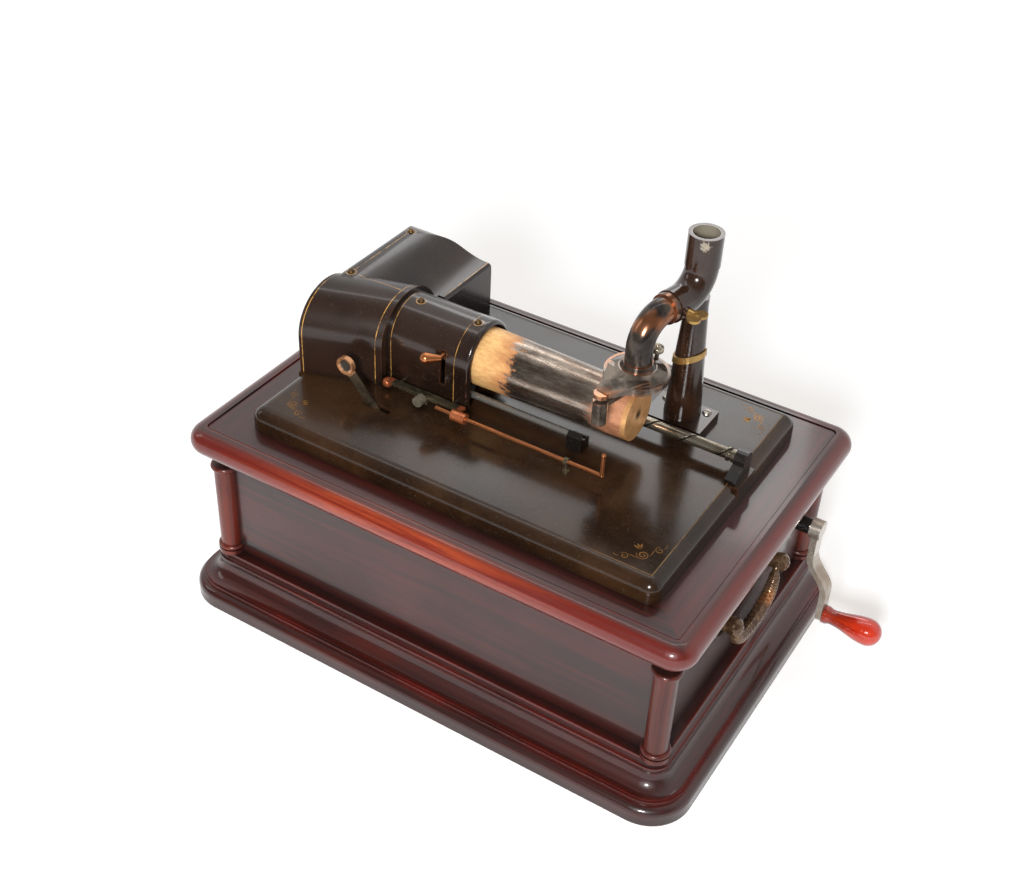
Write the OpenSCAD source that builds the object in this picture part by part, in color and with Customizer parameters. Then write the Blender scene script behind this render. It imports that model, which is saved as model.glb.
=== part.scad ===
// Table cylinder phonograph with a travelling mandrel and a fixed sound box.
// Origin: centre of the base on the table. +X right along the front, +Y back, +Z up. Millimetres.

/* [Case] */
// Width of the plinth
plinth_w = 450; // [440:1:470]
// Depth of the plinth
plinth_d = 321.5; // [316:0.5:335]
// Height of the plinth moulding
plinth_h = 42; // [41:0.5:46]
// Set-back of the walls from the plinth's edge
wall_inset = 31.5; // [30.5:0.5:33]
// Thickness of the wall boards
wall_t = 10; // [8:0.5:11]
// Height of the wall boards
wall_h = 102; // [100:1:108]
// Thickness of the bottom board
bottom_t = 8; // [6:0.5:12]
// Radius of the turned corner columns
column_r = 9; // [8:0.25:10]
// Height of the bead moulding under the lid
bead_h = 14; // [14:0.5:18]

/* [Lid] */
// Overhang of the lid beyond the walls
lid_overhang = 22; // [20:0.5:24]
// Thickness of the lid
lid_t = 22; // [20:1:26]
// Radius of the lid's corners
lid_corner_r = 18; // [16:0.5:20]
// Radius of the plinth's corners
plinth_corner_r = 34; // [32:0.5:36]
// Distance of each hinge from the middle of the case
hinge_x = 120; // [100:1:130]

/* [Bedplate] */
// Width of the cast bedplate
bed_w = 349; // [346:1:356]
// Depth of the cast bedplate
bed_d = 237; // [234:1:244]
// Height of the bedplate's edge
bed_t = 18; // [16:0.5:22]
// Thickness of the bedplate's top and of its rim
bed_wall = 8; // [6:0.5:9]
// Radius of the bedplate's rounded edge and corners
bed_round = 10; // [9:0.5:12]

/* [Mandrel] */
// Height of the mandrel's axis above the bedplate
axis_h = 35; // [34.5:0.5:38]
// Place of the mandrel's axis, front to back
axis_y = 1.5; // [0:0.5:4]
// Radius of the mandrel at its left end
mandrel_r_left = 23.5; // [23:0.1:24]
// Radius of the mandrel at its right end
mandrel_r_right = 20.5; // [20:0.1:21]
// Left end of the mandrel
mandrel_x0 = -40; // [-42:0.5:-39]
// Length of the mandrel
mandrel_len = 132; // [128:1:136]
// Wall of the mandrel
mandrel_wall = 2.5; // [2:0.25:3]
// Radius of the drive shaft
shaft_r = 5; // [4:0.25:5.5]

/* [Covers] */
// Radius of the shroud over the mandrel's left end
shroud_r = 29; // [28.8:0.1:30]
// Thickness of the shroud
shroud_t = 2.2; // [1.5:0.1:2.3]
// Right end of the shroud
shroud_x1 = -36; // [-40:0.5:-35]
// Gap from the bedplate's left edge to the drive cover
cover_inset = 1.5; // [1:0.5:2.5]
// Right end of the drive cover's collar
collar_x1 = -110; // [-112:0.5:-109]
// Front face of the drive cover
cover_y0 = -57; // [-60:0.5:-55]
// Back face of the drive cover
cover_y1 = 109; // [108:0.5:111]
// Height of the drive cover above the bedplate
cover_h = 67; // [67:0.5:70]
// Radius of the drive cover's front and back shoulders
cover_round = 35; // [34:0.5:36]
// Thickness of the drive cover
cover_t = 3; // [2:0.25:3.5]

/* [Carriage rods] */
// Rear rod, front to back
rear_y = 27.5; // [27:0.5:30]
// Height of the rear rod above the bedplate
rear_h = 11; // [10:0.5:11.5]
// Radius of the rear rod
rear_r = 4.3; // [3.5:0.1:4.5]
// Front rod, front to back
front_y = -16.5; // [-18:0.5:-16]
// Height of the front rod above the bedplate
front_h = 9.5; // [9:0.5:10]
// Radius of the front rod
front_r = 2.7; // [2.2:0.1:3]
// Left face of the block that holds the front rod
block_x0 = 48; // [47.5:0.5:50]
// Post that holds the rear rod, from the bedplate's right edge to its left face
post_inset = 12.5; // [11.5:0.5:14]

/* [Stop gear] */
// Stop rod, front to back
stop_y = -46.5; // [-48:0.5:-46]
// Height of the stop rod above the bedplate
stop_h = 9.5; // [9:0.5:12]
// Radius of the stop rod
stop_r = 1.6; // [1.2:0.1:2]
// Start lever at the bedplate, left to right
lever_x = -87.7; // [-90:0.1:-86]
// Start lever, front to back
lever_y = -61; // [-61.5:0.1:-60.5]

/* [Horn elbow] */
// Horn column's axis from the bedplate's right edge
column_inset = 73.5; // [70:0.5:77]
// Turn of the arm from the column's square across the mandrel
arm_turn = 12.63; // [11:0.01:14]
// Radius of the horn column at its foot
column_foot_r = 14.7; // [13.5:0.1:16]
// Radius of the horn column at its top
column_top_r = 8.8; // [8.6:0.1:10]
// Height of the sound passage above the bedplate
passage_h = 113; // [112:0.5:118]
// Outer radius of the horn socket
socket_r = 13; // [12.6:0.1:14]
// Bore radius of the horn socket
socket_bore_r = 10; // [9:0.1:10.5]
// Depth of the horn socket
socket_len = 25.5; // [20:0.5:30]
// Reach from the column to the sound box
arm_reach = 62; // [61.5:0.5:64]
// Radius of the sound box
box_r = 24; // [22:0.5:25]

/* [Motor] */
// Crank axis, front to back
crank_y = 65; // [64:0.5:67]
// Drop of the crank axis below the lid
crank_drop = 17; // [16:0.5:18]
// Length of the crank from its axis to its knob
crank_len = 78; // [76:0.5:79]
// Radius of the crank shaft
crank_r = 4; // [3.5:0.25:4.5]
// Module of the gear teeth
gear_m = 1.25; // [1.2:0.05:1.25]
// Radius of the spring barrel
barrel_r = 37; // [34:0.5:37]
// Length of the spring barrel
barrel_len = 60; // [50:1:64]
// Radius of the two belt pulleys
pulley_r = 20; // [18:0.5:21]

/* [Side handles] */
// Distance between the posts of a handle
handle_span = 84; // [80:1:88]
// Height of the handle's pivots above the plinth
handle_h = 55; // [52:0.5:58]
// Drop of the handle's grip below its pivots
handle_drop = 25; // [23:0.5:28]
// Radius of the handle's ribbed grip
grip_r = 5.5; // [5:0.1:6]

/* [Hidden] */
$fn = 64;
run_gap = 0.05;
clear = 0.3;
eps = 1;
cover_x0 = -bed_w / 2 + cover_inset;

// case
wall_x = plinth_w / 2 - wall_inset;
wall_y = plinth_d / 2 - wall_inset;
wall_top = plinth_h + wall_h;
lid_x = wall_x + lid_overhang;
lid_y = wall_y + lid_overhang;
lid_top = wall_top + lid_t;
lid_rim = 1;
bead_out = 10;
column_top = wall_top - bead_h;

// lid hinges
hinge_pin_r = 2;
hinge_knuckle_r = 4.5;
hinge_leaf_t = 1.5;
hinge_len = 40;
hinge_mid = 18;
hinge_z = wall_top - hinge_leaf_t - hinge_knuckle_r;
hinge_y = wall_y + bead_out + 1.5 + hinge_knuckle_r;

// bedplate
bed_z = lid_top - lid_rim;
bed_top = bed_z + bed_t;
bed_under = bed_top - bed_wall;
pad_edge = 1;

// mandrel and shaft
axis_z = bed_top + axis_h;
mandrel_x1 = mandrel_x0 + mandrel_len;
end_t = 4;
hub_r = 9;
hub_len = 26;
hub_face_t = 8;
hub_collar_r = 12;
hub_collar_t = 3;
carriage_x0 = mandrel_x0 - hub_len;
carriage_len = hub_len - clear;
shaft_x0 = cover_x0 + cover_t + clear;
shaft_x1 = mandrel_x1 - end_t - 3;
key_w = 2;
key_h = 2;
key_gap = 0.1;
record_r = 27.8;

// shaft pedestals and pulleys
bearing_w = 16;
bearing_t = 4;
bearing_left_x = shaft_x0 + 2;
belt_x0 = bearing_left_x + bearing_t + 2;
belt_w = 8;
flange_t = 2;
flange_h = 2.5;
pulley_len = belt_w + 2 * flange_t + 2 * clear;
belt_t = 1.5;
bearing_right_x = collar_x1 - 12;

// rods
rear_z = bed_top + rear_h;
front_z = bed_top + front_h;
bracket_x0 = collar_x1 + 3;
bracket_t = 6;
block_len = 12;
block_w = 13;
post_x0 = bed_w / 2 - post_inset;
post_t = 9;
post_r = 6.8;
post_leg = 19;

// covers
cover_top = bed_top + cover_h;
cover_flat = cover_top - 0.5;
collar_seat = 4;
tunnel_y0 = cover_y0 + cover_round + 2;
tunnel_turn = atan2(axis_y - tunnel_y0, collar_x1 - cover_x0);
arm_y0 = 42;
arm_x1 = collar_x1 + 7;
arm_fall_x = cover_x0 + 14;
arm_drop = 24;
shroud_in = shroud_r - shroud_t;
shroud_edge = shroud_t + 1;
shroud_back_h = 23;
slot_x = -59;
slot_w = 4.4;
slot_low = 17;
slot_high = 46;

screw_r = 1.3;

// feed knob
feed_h = 43;
feed_stem_r = 1.9;
feed_plate_w = 12;
feed_plate_t = 2.4;

// stop gear
bar_w = 6;
bar_t = 2.5;
bar_y = stop_y + 10.5;
stop_z = bed_top + stop_h;
bar_x0 = -104;
ferrule_x0 = -37;
ferrule_len = 12;
ferrule_r = 4.2;
stop_x0 = -52;
stop_x1 = 91;
hook_h = 18;
eye_x = 62;
eye_r = 3.2;
clamp_x = -69;
clamp_drop = 2.2;
clamp_r = 1.5;
clamp_head_r = 4.2;
clamp_head_t = 7;
lever_t = 4;
lever_pivot_drop = 7;
lever_pin_r = 2;
lever_len = 56;
lever_lean = 41;
lever_w = 5;
lever_ring_r = 7.5;

// horn elbow
passage_z = bed_top + passage_h;
column_x = bed_w / 2 - column_inset;
column_y = axis_y + arm_reach * cos(arm_turn);
elbow_r = 22;
tube_r = 12.4;
tube_bore_r = 8;
elbow_u = 33;
thumb_u = elbow_u - 4;
spigot_r = 9.5;
spigot_len = 4;
neck_r = 10;
neck_bore_r = 6.5;
neck_bend = 22;
ring_r = 11.6;
ring_len = 5.2;
stub_r = 5.5;
stub_len = 26;
column_top_z = passage_z - 12;
column_collar_h = 8;
face_gap = 0.02;
foot_w = 48;
foot_d = 34;
foot_back = 15;
foot_t = 6;
foot_screw = 7;

// sound box
stylus_z = axis_z + mandrel_r_left + 0.6;
weight_z = stylus_z + 1.2;
weight_t = 4;
weight_r = 19;
box_z = weight_z + weight_t + 3.4;
box_t = 9;
box_rim = 4.5;
box_hinge_u = -box_r + 3;
box_hinge_z = weight_z + weight_t / 2;
box_pin_r = 1.5;
tail_u = 38;
tail_w = 9;
stud_r = 5.5;
stud_h = 19;

// motor
crank_z = wall_top - crank_drop;
wind_teeth = 56;
crank_teeth = 24;
main_teeth = 64;
mid_pinion_teeth = 16;
mid_teeth = 48;
gov_teeth = 12;
gear_t = 6;
crank_angle = 26;
gov_angle = 35;
wind_gap = gear_m * (wind_teeth + crank_teeth) / 2;
mid_gap = gear_m * (main_teeth + mid_pinion_teeth) / 2;
gov_gap = gear_m * (mid_teeth + gov_teeth) / 2;
barrel_y = crank_y - wind_gap * cos(crank_angle);
barrel_z = crank_z - wind_gap * sin(crank_angle);
mid_y = barrel_y - mid_gap;
mid_z = barrel_z;
gov_y = mid_y - gov_gap * cos(gov_angle);
gov_z = mid_z - gov_gap * sin(gov_angle);
plate_t = 4;
plate_left_x = belt_x0 + pulley_len + 2;
plate_right_x = 24;
plate_y0 = gov_y - 17;
plate_y1 = crank_y + 15;
plate_z0 = barrel_z - 45;
plate_z1 = bed_under - 13;
flange_w = 16;
hanger_r = 5;
hanger_inset = 14;
pillar_r = 4;
arbor_r = 5;
mid_r = 4;
gov_r = 2.5;
gov_disc_x = -66;
gov_disc_t = 3;
gov_disc_r = 16;
barrel_x0 = -62;
barrel_wall = 2.5;
mid_gear_x = 12;
wind_x = plate_right_x + plate_t + 5;
crank_shaft_x0 = plate_right_x - 6;
sleeve_r = crank_r + 2.25;
sleeve_x0 = bed_w / 2 - bed_wall - 16.5;
sleeve_x1 = lid_x + 1;
arm_x = sleeve_x1 + 1;
crank_hub_t = 8.5;
crank_arm_in = 2.5;
crank_arm_t = 5;
crank_arm_w = 13;
crank_bow = 16;
knob_pin_r = 3;
knob_len = 47;
knob_r = 11;
notch_swing = 1;

// handles
handle_y = 6;
handle_z = plinth_h + handle_h;
plate_th = 1.6;
handle_out = 10;
handle_pin_r = 2.5;
bail_r = 3;
post_half = 4.5;

wood = "#5a1f18";
iron = "#2a1a14";
copper = "#b5703f";
steel = "#8d8a84";
brass = "#c09a4e";

// Lays a flat shape in the YZ plane and pushes it along X from x0.
module along_x(x0, len) {
  translate([x0, 0, 0])
    rotate([90, 0, 90])
      linear_extrude(len)
        children();
}

// Lays a flat XZ shape and pushes it along Y from y0 towards the back.
module along_y(y0, len) {
  translate([0, y0 + len, 0])
    rotate([90, 0, 0])
      linear_extrude(len)
        children();
}

module rod_x(r, x0, x1, y, z) {
  translate([x0, y, z])
    rotate([0, 90, 0])
      cylinder(r = r, h = x1 - x0);
}

module rod_y(r, y0, y1, x, z) {
  translate([x, y1, z])
    rotate([90, 0, 0])
      cylinder(r = r, h = y1 - y0);
}

// A ball turned in the lathe as narrow cones about Z.
module turned_ball(r) {
  rings = 10;
  rotate_extrude()
    polygon([for (i = [0:rings]) [r * sin(180 * i / rings), -r * cos(180 * i / rings)]]);
}

module block(x0, x1, y0, y1, z0, z1) {
  translate([x0, y0, z0])
    cube([x1 - x0, y1 - y0, z1 - z0]);
}

// Runs a moulding profile round a rectangle with round corners. The profile's x is the distance inwards.
module run_moulding(hx, hy, r) {
  for (side = [0, 1]) {
    mirror([0, side, 0])
      translate([-(hx - r), -hy, 0])
        rotate([90, 0, 90])
          linear_extrude(2 * (hx - r))
            children();
    mirror([side, 0, 0])
      translate([-hx, hy - r, 0])
        rotate([90, 0, 0])
          linear_extrude(2 * (hy - r))
            children();
    for (end = [0, 1])
      mirror([side, 0, 0])
        mirror([0, end, 0])
          translate([hx - r, hy - r, 0])
            rotate_extrude(angle = 90)
              translate([r, 0])
                mirror([1, 0])
                  children();
  }
}

module ring_frame(hx, hy, in_x, in_y, z0, z1) {
  translate([0, 0, z0])
    linear_extrude(z1 - z0)
      difference() {
        square([2 * hx, 2 * hy], center = true);
        square([2 * in_x, 2 * in_y], center = true);
      }
}

// Polar angle between the start of an involute on its base circle and the point at radius p.
function involute(p, base) = sqrt(pow(p / base, 2) - 1) * 180 / PI - acos(base / p);

// Outline of one gear: the flanks are involutes at 25 degrees and each tooth is thinned for backlash.
module gear_shape(teeth, bore) {
  r = gear_m * teeth / 2;
  base = r * cos(25);
  tip = r + 0.8 * gear_m;
  root = r - 1.05 * gear_m;
  low = max(base, root);
  half = 90 / teeth - 0.1 / r * 180 / PI + involute(r, base);
  rise = [for (i = [0:3]) low + (tip - low) * i / 3];
  curve = [for (p = rise) [p, half - involute(p, base)]];
  flank = root < base ? concat([[root, half]], curve) : curve;
  last = len(flank) - 1;
  tooth = concat([for (i = [0:last]) [flank[i][0], -flank[i][1]]], [for (i = [last:-1:0]) flank[i]]);
  difference() {
    polygon([for (k = [0:teeth - 1], q = tooth)
      q[0] * [cos(360 * k / teeth + q[1]), sin(360 * k / teeth + q[1])]]);
    circle(bore);
  }
}

module gear(teeth, x0, y, z, turn, bore) {
  translate([x0, y, z])
    rotate([90, 0, 90])
      linear_extrude(gear_t)
        rotate(turn)
          gear_shape(teeth, bore);
}

// CASE

module plinth_profile() {
  nose = 6;
  nose_z = 9;
  step_p = 5.5;
  step_z = 18.5;
  cove_p = 7;
  cove_z = 33;
  cove_r = 13;
  fillet_p = 19.5;
  scotia_z = 36;
  scotia_r = 4.2;
  square([plinth_corner_r, nose_z]);
  translate([nose, nose_z])
    circle(nose);
  translate([nose, nose_z])
    square([plinth_corner_r - nose, nose]);
  translate([step_p, nose_z + nose])
    square([plinth_corner_r - step_p, step_z - nose_z - nose]);
  difference() {
    translate([cove_p, step_z])
      square([plinth_corner_r - cove_p, cove_z - step_z]);
    translate([cove_p, cove_z])
      circle(cove_r);
  }
  translate([fillet_p, cove_z])
    square([plinth_corner_r - fillet_p, scotia_z - cove_z]);
  difference() {
    translate([fillet_p, scotia_z])
      square([plinth_corner_r - fillet_p, plinth_h - scotia_z]);
    translate([fillet_p, plinth_h])
      circle(scotia_r);
  }
}

module plinth() {
  color(wood) {
    run_moulding(plinth_w / 2, plinth_d / 2, plinth_corner_r)
      plinth_profile();
    ring_frame(plinth_w / 2 - plinth_corner_r, plinth_d / 2 - plinth_corner_r, wall_x - wall_t,
      wall_y - wall_t, 0, plinth_h);
  }
}

module bottom_board() {
  color(wood)
    block(-wall_x + wall_t, wall_x - wall_t, -wall_y + wall_t, wall_y - wall_t, 0, bottom_t);
}

module front_wall() {
  color(wood)
    block(-wall_x, wall_x, -wall_y, -wall_y + wall_t, plinth_h, wall_top);
}

module back_wall() {
  color(wood)
    block(-wall_x, wall_x, wall_y - wall_t, wall_y, plinth_h, wall_top);
}

module left_wall() {
  color(wood)
    block(-wall_x, -wall_x + wall_t, -wall_y + wall_t, wall_y - wall_t, plinth_h, wall_top);
}

// The notch lets the crank sleeve rise with the lid.
module crank_notch() {
  notch_r = sleeve_r + 1;
  rod_x(notch_r, wall_x - wall_t - eps, wall_x + bead_out + eps, crank_y, crank_z);
  block(wall_x - wall_t - eps, wall_x + bead_out + eps, crank_y - notch_r - notch_swing,
    crank_y + notch_r + notch_swing,
    crank_z, wall_top + eps);
}

module right_wall() {
  color(wood)
    difference() {
      block(wall_x - wall_t, wall_x, -wall_y + wall_t, wall_y - wall_t, plinth_h, wall_top);
      crank_notch();
    }
}

module turned_column() {
  ring = 2.2;
  foot_h = 4;
  cylinder(r = column_r, h = column_top - plinth_h);
  cylinder(r = column_r + ring, h = foot_h);
  for (z = [foot_h + ring, column_top - plinth_h - ring])
    translate([0, 0, z])
      rotate_extrude()
        translate([column_r, 0])
          circle(ring);
}

module corner_columns() {
  color(wood)
    for (sx = [0, 1], sy = [0, 1])
      mirror([sx, 0, 0])
        mirror([0, sy, 0])
          difference() {
            translate([wall_x, wall_y, plinth_h])
              turned_column();
            block(wall_x - 2 * column_r, wall_x, wall_y - 2 * column_r, wall_y, plinth_h - eps, wall_top);
          }
}

module bead_profile() {
  bead = 2.4;
  land = 4;
  difference() {
    translate([land, 0])
      square([bead_out - land, bead_h]);
    translate([land, 0])
      circle(land);
  }
  for (z = [bead_h - bead, bead_h - 3.2 * bead])
    translate([land, z])
      circle(bead);
}

module bead_moulding() {
  color(wood)
    difference() {
      translate([0, 0, column_top])
        run_moulding(wall_x + bead_out, wall_y + bead_out, bead_out)
          bead_profile();
      crank_notch();
      for (side = [-1, 1])
        block(side * hinge_x - hinge_len / 2 - clear, side * hinge_x + hinge_len / 2 + clear,
          wall_y - eps,
          wall_y + bead_out + eps, column_top - eps, wall_top + eps);
    }
}

module handle_posts() {
  along_x(wall_x, plate_th)
    difference() {
      union() {
        translate([handle_y, handle_z])
          square([handle_span, 16], center = true);
        for (side = [-1, 1])
          translate([handle_y + side * handle_span / 2, handle_z])
            circle(14);
      }
      translate([handle_y, handle_z])
        circle(2);
    }
  for (side = [-1, 1])
    difference() {
      union() {
        rod_x(post_half + 2, wall_x + plate_th, wall_x + handle_out - 4,
          handle_y + side * handle_span / 2, handle_z);
        translate([wall_x + handle_out, handle_y + side * handle_span / 2, handle_z])
          rotate([90, 0, 0])
            turned_ball(post_half + 3);
      }
      rod_y(handle_pin_r + run_gap, handle_y - handle_span, handle_y + handle_span,
        wall_x + handle_out, handle_z);
      block(wall_x + plate_th, wall_x + 40, handle_y - handle_span / 2 + post_half,
        handle_y + handle_span / 2 - post_half,
        handle_z - 20, handle_z + 20);
    }
}

module handle_plates() {
  color(copper)
    for (side = [0, 1])
      mirror([side, 0, 0])
        handle_posts();
}

// Drop handle: two pivot pins, two arms and a thick grip.
module drop_handle() {
  inner = handle_span / 2 - post_half - clear;
  grip_half = handle_span / 2 - 12;
  x = wall_x + handle_out;
  low = handle_z - handle_drop;
  for (side = [-1, 1]) {
    mid = handle_y + side * (inner - bail_r);
    pin_a = handle_y + side * (inner - 2 * bail_r);
    pin_b = handle_y + side * (handle_span / 2 + post_half - 1);
    rod_y(handle_pin_r, min(pin_a, pin_b), max(pin_a, pin_b), x, handle_z);
    translate([x, mid, low - bail_r - 0.5])
      cylinder(r = bail_r, h = handle_drop + 2 * bail_r + 1);
  }
  rod_y(bail_r - 0.2, handle_y - inner + bail_r, handle_y + inner - bail_r, x, low);
  rod_y(grip_r, handle_y - grip_half, handle_y + grip_half, x, low);
}

module right_handle() {
  color(copper)
    drop_handle();
}

module left_handle() {
  color(copper)
    mirror([1, 0, 0])
      drop_handle();
}

module case_hinges() {
  leaf_h = 34;
  leaf_t = 3;
  color(brass)
    for (side = [-1, 1]) {
      x0 = side * hinge_x - hinge_len / 2;
      x1 = side * hinge_x + hinge_len / 2;
      block(x0, x1, wall_y, wall_y + leaf_t, wall_top - leaf_h, wall_top - 1);
      rod_x(hinge_pin_r, x0, x1, hinge_y, hinge_z);
      for (k = [[x0, side * hinge_x - hinge_mid / 2 - clear],
        [side * hinge_x + hinge_mid / 2 + clear, x1]]) {
        rod_x(hinge_knuckle_r, k[0], k[1], hinge_y, hinge_z);
        block(k[0], k[1], wall_y + leaf_t, hinge_y, hinge_z - hinge_knuckle_r, hinge_z - 1);
      }
    }
}

// LID AND BEDPLATE

module lid_profile() {
  nose = lid_t / 2;
  groove_p = 13.6;
  groove_w = 1.4;
  groove_d = 1.4;
  intersection() {
    translate([nose, nose])
      circle(nose);
    square([nose, lid_t]);
  }
  difference() {
    translate([nose, 0])
      square([lid_corner_r - nose, lid_t]);
    translate([groove_p, lid_t - groove_d])
      square([groove_w, groove_d + eps]);
    translate([groove_p, lid_t - lid_rim])
      square([lid_corner_r, lid_rim + eps]);
  }
}

module lid_frame() {
  color(wood) {
    translate([0, 0, wall_top])
      run_moulding(lid_x, lid_y, lid_corner_r)
        lid_profile();
    ring_frame(lid_x - lid_corner_r, lid_y - lid_corner_r, bed_w / 2 - bed_wall,
      bed_d / 2 - bed_wall, wall_top, bed_z);
  }
}

module lid_hinges() {
  leaf_y0 = wall_y + 4;
  color(brass)
    for (side = [-1, 1]) {
      x0 = side * hinge_x - hinge_mid / 2;
      x1 = side * hinge_x + hinge_mid / 2;
      difference() {
        union() {
          block(x0, x1, leaf_y0, hinge_y + 2, wall_top - hinge_leaf_t, wall_top);
          rod_x(hinge_knuckle_r, x0, x1, hinge_y, hinge_z);
          block(x0, x1, hinge_y - 2, hinge_y + 2, hinge_z, wall_top - hinge_leaf_t + 0.5);
        }
        rod_x(hinge_pin_r + run_gap, x0 - eps, x1 + eps, hinge_y, hinge_z);
      }
    }
}

module bed_profile() {
  square([bed_round, bed_t - bed_round]);
  intersection() {
    translate([bed_round, bed_t - bed_round])
      circle(bed_round);
    square([bed_round, bed_t]);
  }
}

module bedplate() {
  color(iron)
    difference() {
      union() {
        translate([0, 0, bed_z])
          run_moulding(bed_w / 2, bed_d / 2, bed_round)
            bed_profile();
        block(-bed_w / 2 + bed_round, bed_w / 2 - bed_round, -bed_d / 2 + bed_round,
          bed_d / 2 - bed_round, bed_z, bed_top);
        block(cover_x0 - pad_edge, collar_x1 - 28, cover_y0 - pad_edge, cover_y1 + pad_edge, bed_z,
          bed_top);
        block(cover_x0, arm_x1 + pad_edge, arm_y0 - pad_edge, cover_y1 + pad_edge, bed_z, bed_top);
        block(post_x0 - 4, bed_w / 2, rear_y - post_leg - 2, rear_y + 8, bed_z, bed_top);
      }
      block(-bed_w / 2 + bed_wall, bed_w / 2 - bed_wall, -bed_d / 2 + bed_wall, bed_d / 2 - bed_wall,
        bed_z - eps, bed_under);
      belt_slot();
      block(lever_x - (lever_pivot_drop + bed_wall) * tan(lever_lean) - lever_w, lever_x + 4,
        lever_y - lever_t / 2 - 0.6, lever_y + lever_t / 2 + 0.6, bed_under - eps, bed_top + eps);
    }
  color(iron)
    for (side = [-1, 1])
      difference() {
        block(lever_x - 5, lever_x + 5, lever_y + side * (lever_t / 2 + 2.6) - 2,
          lever_y + side * (lever_t / 2 + 2.6) + 2,
          bed_under - lever_pivot_drop - 5, bed_under);
        rod_y(lever_pin_r + run_gap, lever_y - 12, lever_y + 12, lever_x, bed_under - lever_pivot_drop);
      }
}

module belt_slot() {
  strand_t = (bed_top - mid_z) / (axis_z - mid_z);
  mid = mid_y + (axis_y - mid_y) * strand_t;
  half = pulley_r + 8;
  block(belt_x0 - 1, belt_x0 + pulley_len + 1, mid - half, mid + half, bed_under - eps, bed_top + eps);
}

// DRIVE COVER AND SHROUD

// Places of the screws on top of the drive cover and of the shroud, as [x, y].
function cover_screw_spots() = [[cover_x0 + 9.5, axis_y - 2.5], [cover_x0 + 10.8, cover_y1 - 31]];
function shroud_screw_spots() = [[collar_x1 + 13, axis_y - 2.3], [shroud_x1 - 9, axis_y - 2.3]];

// Round-topped front of the cover, on a slant from the left face to the collar.
module cover_tunnel(g) {
  r = cover_round - g;
  mid_z = cover_top - cover_round;
  intersection() {
    translate([cover_x0, tunnel_y0, 0])
      rotate([0, 0, tunnel_turn])
        along_x(-60, 220) {
          translate([-r, bed_top - eps])
            square([2 * r, mid_z - bed_top + eps]);
          translate([0, mid_z])
            circle(r);
        }
    block(cover_x0 + g, collar_x1 - g, cover_y0 - 50, cover_y1, bed_top - 2 * eps, cover_top + 1);
  }
}

// Side view of the cover's rear: a flat top that falls in an even S-curve to the right end.
module cover_side(g) {
  foot = bed_top - eps;
  top = cover_flat - g;
  corner = 8 - g;
  edge = 3;
  x0 = cover_x0 + g;
  x1 = arm_x1 - g;
  run = arm_x1 - edge - arm_fall_x;
  fall_end = arm_x1 - edge;
  bend_r = (run * run + arm_drop * arm_drop) / (4 * arm_drop);
  turn = 2 * atan2(arm_drop, run);
  mid_x = arm_fall_x + (bend_r - g) * sin(turn);
  mid_z = cover_flat - bend_r + (bend_r - g) * cos(turn);
  low = top - arm_drop;
  translate([x0, foot])
    square([arm_fall_x - x0, top - corner - foot]);
  translate([x0 + corner, foot])
    square([arm_fall_x - x0 - corner, top - foot]);
  translate([x0 + corner, top - corner])
    circle(corner);
  translate([arm_fall_x - eps, foot])
    square([mid_x - arm_fall_x + eps, mid_z - foot]);
  intersection() {
    translate([arm_fall_x, cover_flat - bend_r])
      circle(bend_r - g);
    translate([arm_fall_x - eps, mid_z - eps])
      square([mid_x - arm_fall_x + eps, top - mid_z + 1]);
  }
  difference() {
    translate([mid_x - eps, foot])
      square([fall_end - mid_x + eps, mid_z - foot]);
    translate([fall_end, cover_flat - arm_drop + bend_r])
      circle(bend_r + g);
  }
  if (g == 0) {
    translate([fall_end - eps, foot])
      square([eps + 0.2, low - foot]);
    translate([fall_end, foot])
      square([edge, low - edge - foot]);
    translate([fall_end, low - edge])
      circle(edge);
  }
}

// Plan of the cover behind the tunnel's crest.
module cover_plan(g) {
  end_x = collar_x1 - g;
  polygon([
    [cover_x0 + g, tunnel_y0 + g * tan(tunnel_turn)],
    [end_x, axis_y - g * tan(tunnel_turn)],
    [end_x, arm_y0 + g],
    [arm_x1 - g, arm_y0 + g],
    [arm_x1 - g, cover_y1 - g],
    [cover_x0 + g, cover_y1 - g]
  ]);
}

// Cross-section of the cover's rear with its round back shoulder.
module cover_back(g) {
  r = cover_round - 2 - g;
  top = cover_flat - g;
  translate([tunnel_y0 - 5, bed_top - eps])
    square([cover_y1 - g - tunnel_y0 + 5, top - r - bed_top + eps]);
  translate([tunnel_y0 - 5, bed_top - eps])
    square([cover_y1 - g - r - tunnel_y0 + 5, top - bed_top + eps]);
  translate([cover_y1 - g - r, top - r])
    circle(r);
}

module cover_solid(g) {
  cover_tunnel(g);
  intersection() {
    along_y(cover_y0, cover_y1 - cover_y0 + 10)
      cover_side(g);
    along_x(cover_x0 - 10, arm_x1 - cover_x0 + 20)
      cover_back(g);
    translate([0, 0, bed_top - 2 * eps])
      linear_extrude(cover_h + 10)
        cover_plan(g);
  }
}

module drive_cover() {
  color(iron)
    difference() {
      cover_solid(0);
      cover_solid(cover_t);
      along_x(collar_x1 - collar_seat - clear, 60)
        shroud_section(shroud_r + run_gap, bed_top - eps);
      for (p = cover_screw_spots())
        translate([p[0], p[1], cover_top - 10])
          cylinder(r = screw_r, h = 20);
      block(cover_x0 - 5, arm_x1 + 5, cover_y0 - 5, cover_y1 + 5, bed_top - 5, bed_top);
    }
}

module shroud_section(r, foot) {
  translate([axis_y, axis_z])
    circle(r);
  translate([axis_y - r, foot])
    square([2 * r, axis_z - foot]);
}

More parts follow.
